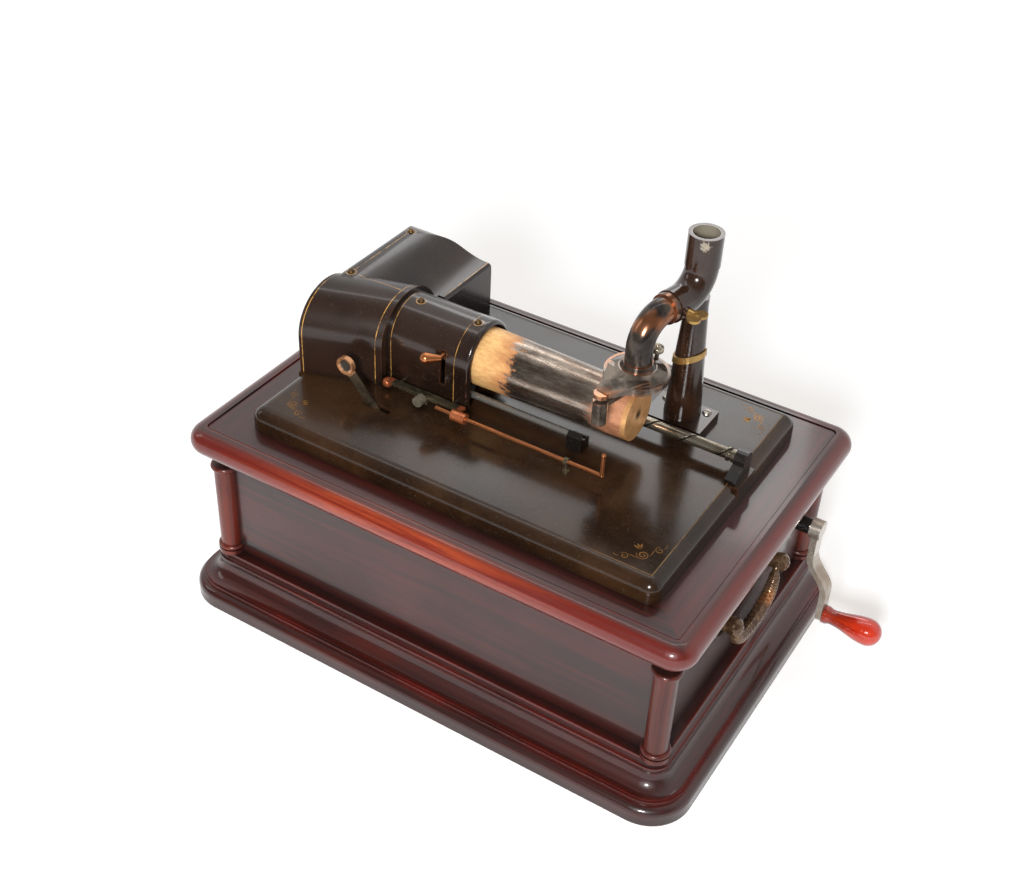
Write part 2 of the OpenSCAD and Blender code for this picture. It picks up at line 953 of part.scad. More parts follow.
// The shroud's right end is rounded over: half of a turned shape above, a plan with round corners below.
module shroud_end_plan(x0) {
  r = shroud_edge;
  translate([x0, -shroud_r])
    square([shroud_x1 - r - x0, 2 * shroud_r]);
  translate([x0, -shroud_r + r])
    square([shroud_x1 - x0, 2 * shroud_r - 2 * r]);
  for (side = [-1, 1])
    translate([shroud_x1 - r, side * (shroud_r - r)])
      circle(r);
}

module shroud_end_round(x0) {
  translate([0, axis_y, axis_z])
    rotate([0, 90, 0])
      rotate_extrude()
        intersection() {
          rotate(90)
            shroud_end_plan(x0);
          translate([0, x0 - 1])
            square([2 * shroud_r, shroud_x1 - x0 + 2]);
        }
}

module shroud() {
  lip = 2;
  x0 = collar_x1 - collar_seat;
  color(iron)
    difference() {
      union() {
        intersection() {
          along_x(x0, shroud_x1 - x0)
            shroud_section(shroud_r, bed_top);
          union() {
            shroud_end_round(x0);
            translate([0, axis_y, bed_top - eps])
              linear_extrude(axis_z - bed_top + eps)
                shroud_end_plan(x0);
          }
        }
        translate([-52, axis_y + shroud_r + 1.2, bed_top + shroud_back_h])
          cylinder(r = 1.7, h = 24);
      }
      along_x(x0 - eps, shroud_x1 - lip - x0 + eps)
        shroud_section(shroud_in, bed_top - eps);
      along_x(x0 - eps, shroud_x1 - x0 + 2 * eps)
        shroud_section(shroud_in - 1.2, bed_top - eps);
      block(x0 - eps, shroud_x1 + eps, axis_y, axis_y + 2 * shroud_r, bed_top - eps,
        bed_top + shroud_back_h);
      block(slot_x - slot_w / 2, slot_x + slot_w / 2, axis_y - shroud_r - 5, axis_y - 20,
        bed_top + slot_low, bed_top + slot_high);
      for (p = shroud_screw_spots())
        translate([p[0], p[1], axis_z + 10])
          cylinder(r = screw_r, h = 40);
    }
}

// Slotted screw whose head rests at height z.
module screw(x, y, z, r, deep) {
  translate([x, y, z - deep])
    cylinder(r = r, h = deep + 0.2);
  difference() {
    translate([x, y, z])
      cylinder(r1 = 1.9 * r, r2 = 1.4 * r, h = 1.8);
    block(x - 2 * r, x + 2 * r, y - 0.4, y + 0.4, z + 1, z + 3);
  }
}

module cover_screws() {
  color(steel) {
    for (p = cover_screw_spots())
      screw(p[0], p[1], cover_flat, screw_r, 2.5);
    for (p = shroud_screw_spots())
      screw(p[0], p[1], axis_z + shroud_r, screw_r, 2);
  }
}

// TOP WORKS

module bearing_pedestal(x0) {
  along_x(x0, bearing_t)
    difference() {
      union() {
        translate([axis_y - bearing_w / 2, bed_top])
          square([bearing_w, axis_h]);
        translate([axis_y, axis_z])
          circle(bearing_w / 2);
      }
      translate([axis_y, axis_z])
        circle(shaft_r + run_gap);
    }
}

module shaft_bearings() {
  color(brass) {
    bearing_pedestal(bearing_left_x);
    bearing_pedestal(bearing_right_x);
  }
}

module rod_bracket() {
  color(iron)
    along_x(bracket_x0, bracket_t)
      difference() {
        union() {
          translate([front_y - 6, bed_top])
            square([rear_y - front_y + 12, front_h]);
          translate([front_y, front_z])
            circle(6);
          translate([rear_y, rear_z])
            circle(7);
          translate([rear_y - 7, bed_top])
            square([14, rear_h]);
        }
        translate([front_y, front_z])
          circle(front_r);
        translate([rear_y, rear_z])
          circle(rear_r);
      }
}

module front_rod() {
  color(steel)
    rod_x(front_r, bracket_x0, block_x0 + block_len - 4, front_y, front_z);
}

// The block is relieved so that a record on the mandrel clears it.
module rod_block() {
  color(iron)
    difference() {
      union() {
        along_x(block_x0, block_len)
          translate([front_y, front_z])
            rotate(22.5)
              circle(r = block_w / 2 / cos(22.5), $fn = 8);
        block(block_x0, block_x0 + block_len, front_y - block_w / 2, front_y + block_w / 2, bed_top,
          front_z - 2);
        rod_x(2.6, block_x0 + block_len, block_x0 + block_len + 1.6, front_y, front_z);
      }
      rod_x(front_r, block_x0 - eps, block_x0 + block_len - 4, front_y, front_z);
      rod_x(record_r + 0.8, block_x0 - eps, block_x0 + block_len + 5, axis_y, axis_z);
    }
}

module rear_rod() {
  color(steel) {
    rod_x(rear_r, bracket_x0, post_x0 + post_t - 2, rear_y, rear_z);
    rod_x(rear_r + 1.2, post_x0 - 7, post_x0 - 5, rear_y, rear_z);
    rod_x(rear_r + 1, post_x0 - 3, post_x0, rear_y, rear_z);
  }
}

module rear_post() {
  color(steel)
    difference() {
      along_x(post_x0, post_t) {
        translate([rear_y, rear_z])
          circle(post_r);
        translate([rear_y - post_r, bed_top])
          square([2 * post_r, rear_h]);
        polygon([
          [rear_y, bed_top],
          [rear_y, rear_z - 2],
          [rear_y - post_r + 0.5, rear_z - 2],
          [rear_y - post_leg, bed_top + 3],
          [rear_y - post_leg, bed_top]
        ]);
      }
      rod_x(rear_r, post_x0 - eps, post_x0 + post_t - 2, rear_y, rear_z);
    }
}

module carriage_arm(y, z) {
  dy = y - axis_y;
  dz = z - axis_z;
  translate([axis_y, axis_z])
    rotate(atan2(dz, dy))
      translate([0, -4])
        square([norm([dy, dz]), 8]);
}

module carriage() {
  color(iron)
    along_x(carriage_x0, carriage_len)
      difference() {
        union() {
          translate([axis_y, axis_z])
            circle(hub_collar_r + 1);
          carriage_arm(rear_y, rear_z);
          carriage_arm(front_y, front_z);
          translate([rear_y, rear_z])
            circle(rear_r + 3);
          translate([front_y, front_z])
            circle(front_r + 3);
        }
        translate([axis_y, axis_z])
          circle(hub_r + run_gap);
        translate([rear_y, rear_z])
          circle(rear_r + run_gap);
        translate([front_y, front_z])
          circle(front_r + run_gap);
      }
}

module mandrel_shell() {
  slope = (mandrel_r_left - mandrel_r_right) / (mandrel_len - end_t);
  color(steel)
    translate([mandrel_x0, axis_y, axis_z])
      rotate([0, 90, 0])
        difference() {
          cylinder(r1 = mandrel_r_left, r2 = mandrel_r_right, h = mandrel_len - end_t);
          translate([0, 0, -eps])
            cylinder(r1 = mandrel_r_left - mandrel_wall + slope * eps,
              r2 = mandrel_r_right - mandrel_wall - slope * eps,
              h = mandrel_len - end_t + 2 * eps);
        }
}

module mandrel_hub() {
  slope = (mandrel_r_left - mandrel_r_right) / (mandrel_len - end_t);
  plug_r = mandrel_r_left - mandrel_wall;
  color(brass)
    difference() {
      union() {
        difference() {
          union() {
            rod_x(hub_r, mandrel_x0 - hub_len - hub_collar_t, mandrel_x0, axis_y, axis_z);
            rod_x(hub_collar_r, mandrel_x0 - hub_len - hub_collar_t, mandrel_x0 - hub_len - clear,
              axis_y, axis_z);
            translate([mandrel_x0, axis_y, axis_z])
              rotate([0, 90, 0])
                cylinder(r1 = plug_r, r2 = plug_r - slope * hub_face_t, h = hub_face_t);
          }
          rod_x(shaft_r + run_gap, mandrel_x0 - hub_len - 9, mandrel_x0 + hub_face_t + eps, axis_y,
            axis_z);
        }
        block(mandrel_x0 - hub_len, mandrel_x0 + hub_face_t, axis_y - key_w / 2, axis_y + key_w / 2,
          axis_z + shaft_r - key_h + key_gap, axis_z + shaft_r + 1);
      }
    }
}

module mandrel_end() {
  color(brass)
    difference() {
      rod_x(mandrel_r_right, mandrel_x1 - end_t, mandrel_x1, axis_y, axis_z);
      rod_x(1.6, mandrel_x1 - end_t - eps, mandrel_x1 + eps, axis_y, axis_z);
    }
}

module drive_shaft() {
  color(steel)
    difference() {
      rod_x(shaft_r, shaft_x0, shaft_x1, axis_y, axis_z);
      block(bearing_right_x + 10, shaft_x1 + eps, axis_y - key_w / 2 - key_gap,
        axis_y + key_w / 2 + key_gap,
        axis_z + shaft_r - key_h, axis_z + shaft_r + eps);
    }
}

module flat_pulley(r, bore, y, z) {
  difference() {
    union() {
      rod_x(r, belt_x0, belt_x0 + pulley_len, y, z);
      for (x = [belt_x0, belt_x0 + pulley_len - flange_t])
        rod_x(r + flange_h, x, x + flange_t, y, z);
    }
    rod_x(bore + 0.02, belt_x0 - eps, belt_x0 + pulley_len + eps, y, z);
  }
}

module drive_pulley() {
  color(brass)
    flat_pulley(pulley_r, shaft_r, axis_y, axis_z);
}

module belt_outline(g) {
  dy = axis_y - mid_y;
  dz = axis_z - mid_z;
  d = norm([dy, dz]);
  r = pulley_r + g;
  translate([mid_y, mid_z])
    rotate(atan2(dz, dy)) {
      circle(r);
      translate([d, 0])
        circle(r);
      translate([0, -r])
        square([d, 2 * r]);
    }
}

module belt() {
  color("#4a3426")
    along_x(belt_x0 + flange_t + clear, belt_w)
      difference() {
        belt_outline(clear + belt_t);
        belt_outline(clear);
      }
}

module feed_knob() {
  y_in = axis_y - shroud_in + 2;
  y_out = axis_y - shroud_r;
  z = bed_top + feed_h;
  bulb = 4.6;
  drop = 10.5;
  color(copper) {
    block(slot_x - feed_plate_w / 2, slot_x + feed_plate_w / 2, y_in, y_in + feed_plate_t, z - 6, z + 1);
    rod_y(feed_stem_r, y_out - 5, y_in + feed_plate_t, slot_x, z);
    translate([slot_x, y_out - 4, z])
      rotate([0, 0, 35])
        rotate([0, -90, 0])
          rotate_extrude()
            intersection() {
              union() {
                polygon([[0, -1], [2.4, -1], [bulb - 0.2, drop - 1.5], [0, drop - 1.5]]);
                translate([0, drop])
                  circle(bulb);
              }
              translate([0, -2])
                square([2 * bulb, 2 * drop]);
            }
  }
}

module stop_bar() {
  y0 = bar_y - bar_w / 2;
  z0 = stop_z - 3;
  color(copper)
    difference() {
      union() {
        block(bar_x0, ferrule_x0 + 3, y0, y0 + bar_w, z0, z0 + bar_t);
        rod_x(ferrule_r, ferrule_x0, ferrule_x0 + ferrule_len, stop_y, stop_z);
        translate([bar_x0, bar_y, z0 - 1])
          rotate([0, 90, 0])
            turned_ball(4.2);
        for (x = [bar_x0 + 10, ferrule_x0 - 8])
          rod_y(1.2, y0 + bar_w - 1, axis_y - shroud_r, x, z0 + bar_t / 2);
        block(clamp_x - 4, clamp_x + 4, y0 - 1, y0 + 2, z0 - 4, z0 + bar_t + 1);
        block(ferrule_x0, ferrule_x0 + 3, stop_y, y0 + 1, z0, z0 + bar_t);
      }
      rod_x(stop_r + run_gap, ferrule_x0 - 30, ferrule_x0 + ferrule_len + eps, stop_y, stop_z);
      rod_y(clamp_r + run_gap, y0 - 3, y0 + bar_w + eps, clamp_x, stop_z - clamp_drop);
    }
  color(steel)
    difference() {
      union() {
        translate([eye_x, stop_y, bed_top])
          cylinder(r = 1.3, h = stop_h - stop_r - 0.4);
        translate([eye_x, stop_y, bed_top])
          cylinder(r = 2.6, h = 1.6);
        rod_x(eye_r, eye_x - 1.5, eye_x + 1.5, stop_y, stop_z);
      }
      rod_x(stop_r + run_gap, eye_x - 5, eye_x + 5, stop_y, stop_z);
    }
}

module stop_rod() {
  color(copper) {
    rod_x(stop_r, stop_x0, stop_x1, stop_y, stop_z);
    translate([stop_x1, stop_y, stop_z])
      cylinder(r = stop_r, h = hook_h);
    for (z = [stop_z, stop_z + hook_h])
      translate([stop_x1, stop_y, z])
        turned_ball(stop_r + 0.2);
  }
}

module clamp_screw() {
  y0 = bar_y - bar_w / 2 - 1;
  z = stop_z - clamp_drop;
  color(brass) {
    rod_y(clamp_r, y0 - clear - 1, y0 + 6, clamp_x, z);
    difference() {
      rod_y(clamp_head_r, y0 - clear - clamp_head_t, y0 - clear, clamp_x, z);
      for (k = [0:11])
        translate([clamp_x, 0, z])
          rotate([0, 30 * k, 0])
            rod_y(0.5, y0 - clear - clamp_head_t - eps, y0 + eps, clamp_head_r + 0.2, 0);
    }
  }
}

// The lever's ring pad stands above the bedplate; its lower arm carries the governor's brake pad.
module start_lever() {
  z = bed_under - lever_pivot_drop;
  pad_x = gov_disc_x - clear - 3.8;
  pad_z = gov_z + 9;
  low = [pad_x - lever_x, pad_z - z];
  color(brass)
    difference() {
      union() {
        along_y(lever_y - lever_t / 2, lever_t)
          translate([lever_x, z]) {
            circle(lever_w);
            rotate(lever_lean) {
              translate([-lever_w / 2, 0])
                square([lever_w, lever_len]);
              translate([0, lever_len])
                circle(lever_ring_r);
            }
            rotate(atan2(low[1], low[0]))
              translate([0, -lever_w / 2])
                square([norm(low), lever_w]);
          }
        block(pad_x - 2, pad_x + 3, lever_y - 3, lever_y + 3, pad_z - 4, pad_z + 4);
        rod_y(lever_pin_r, lever_y - lever_t / 2 - 4, lever_y + lever_t / 2 + 4, lever_x, z);
      }
      translate([lever_x, 0, z])
        rotate([0, -lever_lean, 0])
          translate([0, lever_y - lever_t / 2 - 0.01, lever_len])
            rotate([-90, 0, 0])
              cylinder(r1 = lever_ring_r - 1, r2 = lever_ring_r - 3.5, h = 1.6);
    }
}

// HORN ELBOW AND SOUND BOX

// Frame of the arm: local x runs from the column towards the sound box, local y to its right, z up.
module arm_frame() {
  translate([column_x, column_y, 0])
    rotate([0, 0, -90 - arm_turn])
      children();
}

module foot_screw_spots() {
  for (sx = [-1, 1])
    translate([column_x + sx * (foot_w / 2 - foot_screw), column_y + foot_back - foot_screw, 0])
      children();
}

module horn_column() {
  color(iron)
    difference() {
      union() {
        block(column_x - foot_w / 2, column_x + foot_w / 2, column_y + foot_back - foot_d,
          column_y + foot_back,
          bed_top, bed_top + foot_t);
        translate([column_x, column_y, bed_top])
          cylinder(r1 = column_foot_r, r2 = column_top_r, h = column_top_z - bed_top);
      }
      translate([column_x, column_y, column_top_z - stub_len - 1])
        cylinder(r = stub_r + run_gap, h = stub_len + 5);
      foot_screw_spots()
        translate([0, 0, bed_top + foot_t - 4])
          cylinder(r = 2, h = 5);
    }
}

// Radius of the tapered column at height z.
function column_r(z) =
  column_foot_r - (column_foot_r - column_top_r) * (z - bed_top) / (column_top_z - bed_top);

// Brass leaf bent round the column, on a slant.
module column_spring() {
  leaf_z = bed_top + 58;
  color(brass)
    translate([column_x, column_y, leaf_z])
      difference() {
        intersection() {
          cylinder(r1 = column_r(leaf_z - 20) + 1, r2 = column_r(leaf_z + 20) + 1, h = 40, center = true);
          rotate([0, -22, 0])
            cube([60, 60, 5], center = true);
        }
        cylinder(r1 = column_r(leaf_z - 25), r2 = column_r(leaf_z + 25), h = 50, center = true);
        translate([-20, 4, -20])
          cube([40, 40, 40]);
      }
}

module bed_screws() {
  color(steel)
    foot_screw_spots()
      screw(0, 0, bed_top + foot_t, 2, 4);
}

// Quarter bend of a pipe in the local xz plane, centred at (u, z), from one angle through 90 degrees.
module pipe_bend(u, z, bend, r, from) {
  translate([u, 0, z])
    rotate([90, 0, 0])
      rotate([0, 0, from])
        rotate_extrude(angle = 90)
          translate([bend, 0])
            circle(r);
}

module pipe_u(u0, u1, z, r) {
  translate([u0, 0, z])
    rotate([0, 90, 0])
      cylinder(r = r, h = u1 - u0);
}

module horn_elbow() {
  bend_z = passage_z + elbow_r;
  color(iron)
    arm_frame()
      difference() {
        union() {
          translate([0, 0, bend_z])
            cylinder(r = socket_r, h = socket_len);
          pipe_bend(elbow_r, bend_z, elbow_r, tube_r, 180);
          pipe_u(elbow_r - 0.01, elbow_u, passage_z, tube_r);
          pipe_u(elbow_r, elbow_u + spigot_len, passage_z, spigot_r);
          translate([0, 0, column_top_z + face_gap])
            cylinder(r = column_top_r, h = column_collar_h - face_gap);
          translate([0, 0, column_top_z - stub_len])
            cylinder(r = stub_r, h = stub_len + 2);
          translate([thumb_u, 0, passage_z])
            rotate([-90, 0, 0])
              cylinder(r = 4, h = tube_r + 2);
        }
        translate([0, 0, bend_z])
          cylinder(r = socket_bore_r, h = socket_len + eps);
        pipe_bend(elbow_r, bend_z, elbow_r, tube_bore_r, 180);
        pipe_u(elbow_r - 0.01, elbow_u + spigot_len + eps, passage_z, tube_bore_r);
        translate([thumb_u, tube_bore_r + 1.2, passage_z])
          rotate([-90, 0, 0])
            cylinder(r = 2 + run_gap, h = 20);
      }
}

module thumb_screw() {
  color(brass)
    arm_frame()
      translate([thumb_u, 0, passage_z])
        rotate([-90, 0, 0]) {
          translate([0, 0, tube_bore_r + 1.5])
            cylinder(r = 2, h = 14);
          translate([0, 0, tube_r + 2 + clear])
            cylinder(r = 3.6, h = 5);
          for (side = [0, 1])
            mirror([side, 0, 0])
              translate([4.2, 1, tube_r + 9.5])
                rotate([90, 0, 0])
                  cylinder(r = 5, h = 2);
        }
}

module gooseneck() {
  bend_u = arm_reach - neck_bend;
  bend_z = passage_z - neck_bend;
  start = elbow_u + clear;
  top = box_z + box_t;
  color("#55504a")
    arm_frame()
      difference() {
        union() {
          pipe_u(start, start + ring_len, passage_z, ring_r);
          pipe_u(start + ring_len - eps, bend_u + 0.01, passage_z, neck_r);
          pipe_bend(bend_u, bend_z, neck_bend, neck_r, 0);
          translate([arm_reach, 0, top])
            cylinder(r = neck_r, h = bend_z - top + 0.01);
          translate([arm_reach, 0, top])
            cylinder(r1 = neck_r + 3, r2 = neck_r + 1, h = 4);
        }
        pipe_u(start - eps, start + spigot_len, passage_z, spigot_r + run_gap);
        pipe_u(start, bend_u + 0.01, passage_z, neck_bore_r);
        pipe_bend(bend_u, bend_z, neck_bend, neck_bore_r, 0);
        translate([arm_reach, 0, top - eps])
          cylinder(r = neck_bore_r, h = bend_z - top + eps + 0.01);
      }
}

// Arm that tapers from the sound box to a round end over the weight's stud.
module box_arm() {
  intersection() {
    translate([0, 0, box_z])
      linear_extrude(box_t)
        polygon([[8, -19], [tail_u, -4.6], [tail_u, 4.6], [8, 19]]);
    translate([0, 40, 0])
      rotate([90, 0, 0])
        linear_extrude(80)
          polygon([[0, box_z], [tail_u + 1, box_z], [tail_u + 1, box_z + 3.8], [12,
            box_z + box_t - 1.5], [0, box_z + box_t - 1.5]]);
  }
  translate([tail_u, 0, box_z])
    cylinder(r = stud_r, h = 3.4);
}

module sound_box() {
  color("#55504a")
    arm_frame()
      translate([arm_reach, 0, 0])
        difference() {
          union() {
            translate([0, 0, box_z])
              cylinder(r = box_r, h = box_rim);
            translate([0, 0, box_z + box_rim - eps])
              cylinder(r1 = box_r - 0.6, r2 = neck_r + 4, h = box_t - box_rim + eps);
            box_arm();
            for (side = [-1, 1])
              translate([box_hinge_u - 3, side * 7.6 - 1.6, box_hinge_z - 3])
                cube([6, 3.2, box_z + 2 - box_hinge_z + 3]);
          }
          translate([0, 0, box_z])
            cylinder(r = neck_bore_r, h = box_t + eps);
          translate([0, 0, box_z - eps])
            cylinder(r = box_r - 8, h = 4 + eps);
          translate([box_hinge_u, -20, box_hinge_z])
            rotate([-90, 0, 0])
              cylinder(r = box_pin_r + run_gap, h = 40);
        }
}

module diaphragm() {
  color("#c9c2b2")
    arm_frame()
      translate([arm_reach, 0, box_z + 2.6])
        difference() {
          cylinder(r = box_r - 8, h = 0.6);
          cylinder(r = 1, h = 2, center = true);
        }
}

module floating_weight() {
  color(copper)
    arm_frame() {
      translate([arm_reach, 0, weight_z])
        linear_extrude(weight_t)
          union() {
            circle(weight_r - 3);
            translate([box_hinge_u + 3.4, -5.6])
              square([16, 11.2]);
            translate([0, -tail_w / 2])
              square([tail_u, tail_w]);
          }
      translate([arm_reach + tail_u, 0, weight_z + weight_t - stud_h])
        cylinder(r = stud_r, h = stud_h);
      translate([arm_reach + box_hinge_u, -5.6, box_hinge_z])
        rotate([-90, 0, 0])
          cylinder(r = weight_t / 2 + 0.3, h = 11.2);
      translate([arm_reach + box_hinge_u, -1.9, weight_z])
        cube([4, 3.8, weight_t]);
      translate([arm_reach + box_hinge_u, -9, box_hinge_z])
        rotate([-90, 0, 0])
          cylinder(r = box_pin_r, h = 18);
    }
}

module stylus() {
  color(steel)
    arm_frame()
      translate([arm_reach, 0, 0]) {
        translate([-8, -1.2, weight_z - 0.9])
          cube([10, 2.4, 0.9]);
        translate([0, 0, stylus_z])
          cylinder(r1 = 0.3, r2 = 0.9, h = weight_z - stylus_z);
      }
}

// MOTOR

module motor_plate(x0, side, crank_hole) {
  along_x(x0, plate_t)
    difference() {
      translate([plate_y0, plate_z0])
        square([plate_y1 - plate_y0, plate_z1 - plate_z0]);
      translate([barrel_y, barrel_z])
        circle(arbor_r + run_gap);
      translate([mid_y, mid_z])
        circle(mid_r + run_gap);
      translate([gov_y, gov_z])
        circle(gov_r + run_gap);
      if (crank_hole)
        translate([crank_y, crank_z])
          circle(crank_r + run_gap);
      translate([plate_y0 - eps, plate_z0 - eps])
        square([12, 12]);
    }
  block(side > 0 ? x0 : x0 + plate_t - flange_w, side > 0 ? x0 + flange_w : x0 + plate_t, plate_y0,
    plate_y1,
    plate_z1 - plate_t, plate_z1);
}

module motor_plates() {
  color(iron) {
    motor_plate(plate_left_x, 1, false);
    motor_plate(plate_right_x, -1, true);
  }
}

// Corners of the frame at which the long pillars stand, as [y, z].
function pillar_spots() = [[plate_y0 + 8, plate_z1 - 14], [plate_y1 - 8, plate_z1 - 14],
  [plate_y1 - 8, plate_z0 + 8], [mid_y + 10, plate_z0 + 6]];

// Long pillars between the plates and short hangers up to the bedplate.
module motor_pillars() {
  color(steel) {
    for (p = pillar_spots())
      rod_x(pillar_r, plate_left_x + plate_t, plate_right_x, p[0], p[1]);
    for (x = [plate_left_x + flange_w / 2, plate_right_x + plate_t - flange_w / 2],
         y = [plate_y0 + hanger_inset, plate_y1 - hanger_inset])
      translate([x, y, plate_z1])
        cylinder(r = hanger_r, h = bed_under - plate_z1);
  }
}

module crank_sleeve() {
  color(iron)
    difference() {
      union() {
        rod_x(sleeve_r, sleeve_x0, sleeve_x1, crank_y, crank_z);
        block(sleeve_x0, sleeve_x0 + 6, crank_y - 5, crank_y + 5, crank_z, bed_under);
      }
      rod_x(crank_r + run_gap, sleeve_x0 - eps, sleeve_x1 + eps, crank_y, crank_z);
    }
}

module spring_barrel() {
  color(brass)
    difference() {
      rod_x(barrel_r, barrel_x0, barrel_x0 + barrel_len, barrel_y, barrel_z);
      rod_x(barrel_r - barrel_wall, barrel_x0 + barrel_wall, barrel_x0 + barrel_len - barrel_wall,
        barrel_y, barrel_z);
      rod_x(arbor_r + run_gap, barrel_x0 - eps, barrel_x0 + barrel_len + eps, barrel_y, barrel_z);
    }
}

module main_gear() {
  color(brass)
    gear(main_teeth, barrel_x0 - gear_t, barrel_y, barrel_z, 180, arbor_r + run_gap);
}

// The spring's strip is one spiral from the arbor to the barrel's wall.
module mainspring() {
  turns = 5;
  strip = 0.9;
  r0 = arbor_r + 3;
  r1 = barrel_r - barrel_wall - strip - 0.2;
  count = turns * 20;
  spiral = [for (i = [0:count]) [360 * turns * i / count, r0 + (r1 - r0) * i / count]];
  color(steel)
    translate([barrel_x0 + barrel_wall + 1, barrel_y, barrel_z])
      rotate([90, 0, 90])
        linear_extrude(barrel_len - 2 * barrel_wall - 2)
          polygon(concat([for (s = spiral) s[1] * [cos(s[0]), sin(s[0])]],
            [for (i = [count:-1:0]) (spiral[i][1] + strip) * [cos(spiral[i][0]), sin(spiral[i][0])]]));
}

module winding_arbor() {
  color(steel) {
    rod_x(arbor_r, plate_left_x, wind_x + gear_t + 4, barrel_y, barrel_z);
    gear(wind_teeth, wind_x, barrel_y, barrel_z, crank_angle, arbor_r - 1);
  }
}

module crank_shaft() {
  color(steel) {
    rod_x(crank_r, crank_shaft_x0, arm_x, crank_y, crank_z);
    gear(crank_teeth, wind_x, crank_y, crank_z, crank_angle + 180 + 180 / crank_teeth, crank_r - 1);
  }
}

// The arm is a flat bar that steps outwards in an S on its way down.
module crank_arm() {
  steps = 12;
  s_from = 25;
  s_to = 56;
  x0 = arm_x + crank_arm_in;
  function bow(t) = crank_bow * (1 - cos(180 * t)) / 2;
  path = concat([[0, 0]], [for (i = [0:steps]) [bow(i / steps), s_from + (s_to - s_from) * i / steps]],
    [[crank_bow, crank_len]]);
  inner = [for (q = path) [x0 + q[0], crank_z - q[1]]];
  outer = [for (i = [len(path) - 1:-1:0]) [x0 + crank_arm_t + path[i][0], crank_z - path[i][1]]];
  end = x0 + crank_bow;
  color(steel) {
    along_y(crank_y - crank_arm_w / 2, crank_arm_w)
      polygon(concat(inner, outer));
    rod_x(crank_arm_w / 2 + 1.5, arm_x, arm_x + crank_hub_t, crank_y, crank_z);
    rod_x(crank_arm_w / 2, end, end + crank_arm_t, crank_y, crank_z - crank_len);
    rod_x(knob_pin_r, end + crank_arm_t - eps, end + crank_arm_t + knob_len - 12, crank_y,
      crank_z - crank_len);
  }
}

module crank_knob() {
  x0 = arm_x + crank_arm_in + crank_bow + crank_arm_t + clear;
  neck = 6.2;
  steps = 14;
  shape = [for (i = [0:steps]) [neck + (knob_r - neck) * (1 - cos(180 * i / steps)) / 2,
    6 + (knob_len - knob_r - 6) * i / steps]];
  cap = [for (a = [10:10:80]) [knob_r * cos(a), knob_len - knob_r + knob_r * sin(a)]];
  color("#a3281c")
    translate([x0, crank_y, crank_z - crank_len])
      rotate([0, 90, 0])
        difference() {
          rotate_extrude()
            polygon(concat([[0, 0], [neck + 1.2, 0], [neck + 1.2, 3]], shape, cap, [[0, knob_len]]));
          translate([0, 0, -eps])
            cylinder(r = knob_pin_r + run_gap, h = knob_len - 11);
        }
}

module middle_arbor() {
  color(steel) {
    rod_x(mid_r, belt_x0, plate_right_x + plate_t, mid_y, mid_z);
    gear(mid_pinion_teeth, barrel_x0 - gear_t, mid_y, mid_z, 180 / mid_pinion_teeth, mid_r - 1);
    gear(mid_teeth, mid_gear_x, mid_y, mid_z, 180 + gov_angle, mid_r - 1);
  }
}

module belt_pulley() {
  color(brass)
    flat_pulley(pulley_r, mid_r, mid_y, mid_z);
}

module governor() {
  color(steel) {
    rod_x(gov_r, plate_left_x, plate_right_x + plate_t, gov_y, gov_z);
    gear(gov_teeth, mid_gear_x, gov_y, gov_z, gov_angle + 180 / gov_teeth, gov_r - 0.5);
    for (x = [-58, -8])
      rod_x(6, x, x + 6, gov_y, gov_z);
    rod_x(gov_disc_r, gov_disc_x, gov_disc_x + gov_disc_t, gov_y, gov_z);
    rod_x(5, gov_disc_x + gov_disc_t - 0.5, -58 + 0.5, gov_y, gov_z);
  }
}

// Three balls on bowed leaf springs between the two collars.
module governor_weights() {
  ball_r = 5;
  ball_out = 13;
  mid = -30;
  leaf_run = 22;
  rise = ball_out - 5;
  color(brass)
    translate([mid, gov_y, gov_z])
      for (k = [0:2])
        rotate([120 * k, 0, 0]) {
          translate([0, 0, ball_out])
            turned_ball(ball_r);
          for (side = [0, 1])
            mirror([side, 0, 0])
              intersection() {
                translate([0, 0, ball_out])
                  rotate([0, atan2(rise, leaf_run), 0])
                    translate([0, -2, -0.3])
                      cube([norm([rise, leaf_run]) + 2, 4, 0.6]);
                block(-1, leaf_run, -4, 4, 0, 2 * ball_out);
              }
        }
}

plinth();
bottom_board();
front_wall();
back_wall();
left_wall();
right_wall();
corner_columns();
bead_moulding();
handle_plates();
case_hinges();
right_handle();
left_handle();
lid_frame();
lid_hinges();
bedplate();
drive_cover();
shroud();
cover_screws();
shaft_bearings();
rod_bracket();
front_rod();
rod_block();
rear_rod();
rear_post();
stop_bar();
horn_column();
column_spring();
bed_screws();
motor_plates();
motor_pillars();
crank_sleeve();
belt();
carriage();
mandrel_shell();
mandrel_hub();
mandrel_end();
drive_shaft();
drive_pulley();
feed_knob();
stop_rod();
clamp_screw();
start_lever();
horn_elbow();
thumb_screw();
gooseneck();
sound_box();
diaphragm();
floating_weight();
stylus();
spring_barrel();
main_gear();
mainspring();
winding_arbor();
crank_shaft();
crank_arm();
crank_knob();
middle_arbor();
belt_pulley();
governor();
governor_weights();
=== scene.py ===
# %% [markdown]
# # Dressing a cylinder phonograph
# The solids of the machine come from its CAD model and stay where they are. This lesson gives them
# the finishes of the real thing, and adds the gold lines, the scrolls, the ribbed grips and the
# worn plating that the solids leave out. Every length is in metres, in the CAD frame.

# %% Load the frame
import math

import bmesh
import bpy
from mathutils import Matrix, Vector


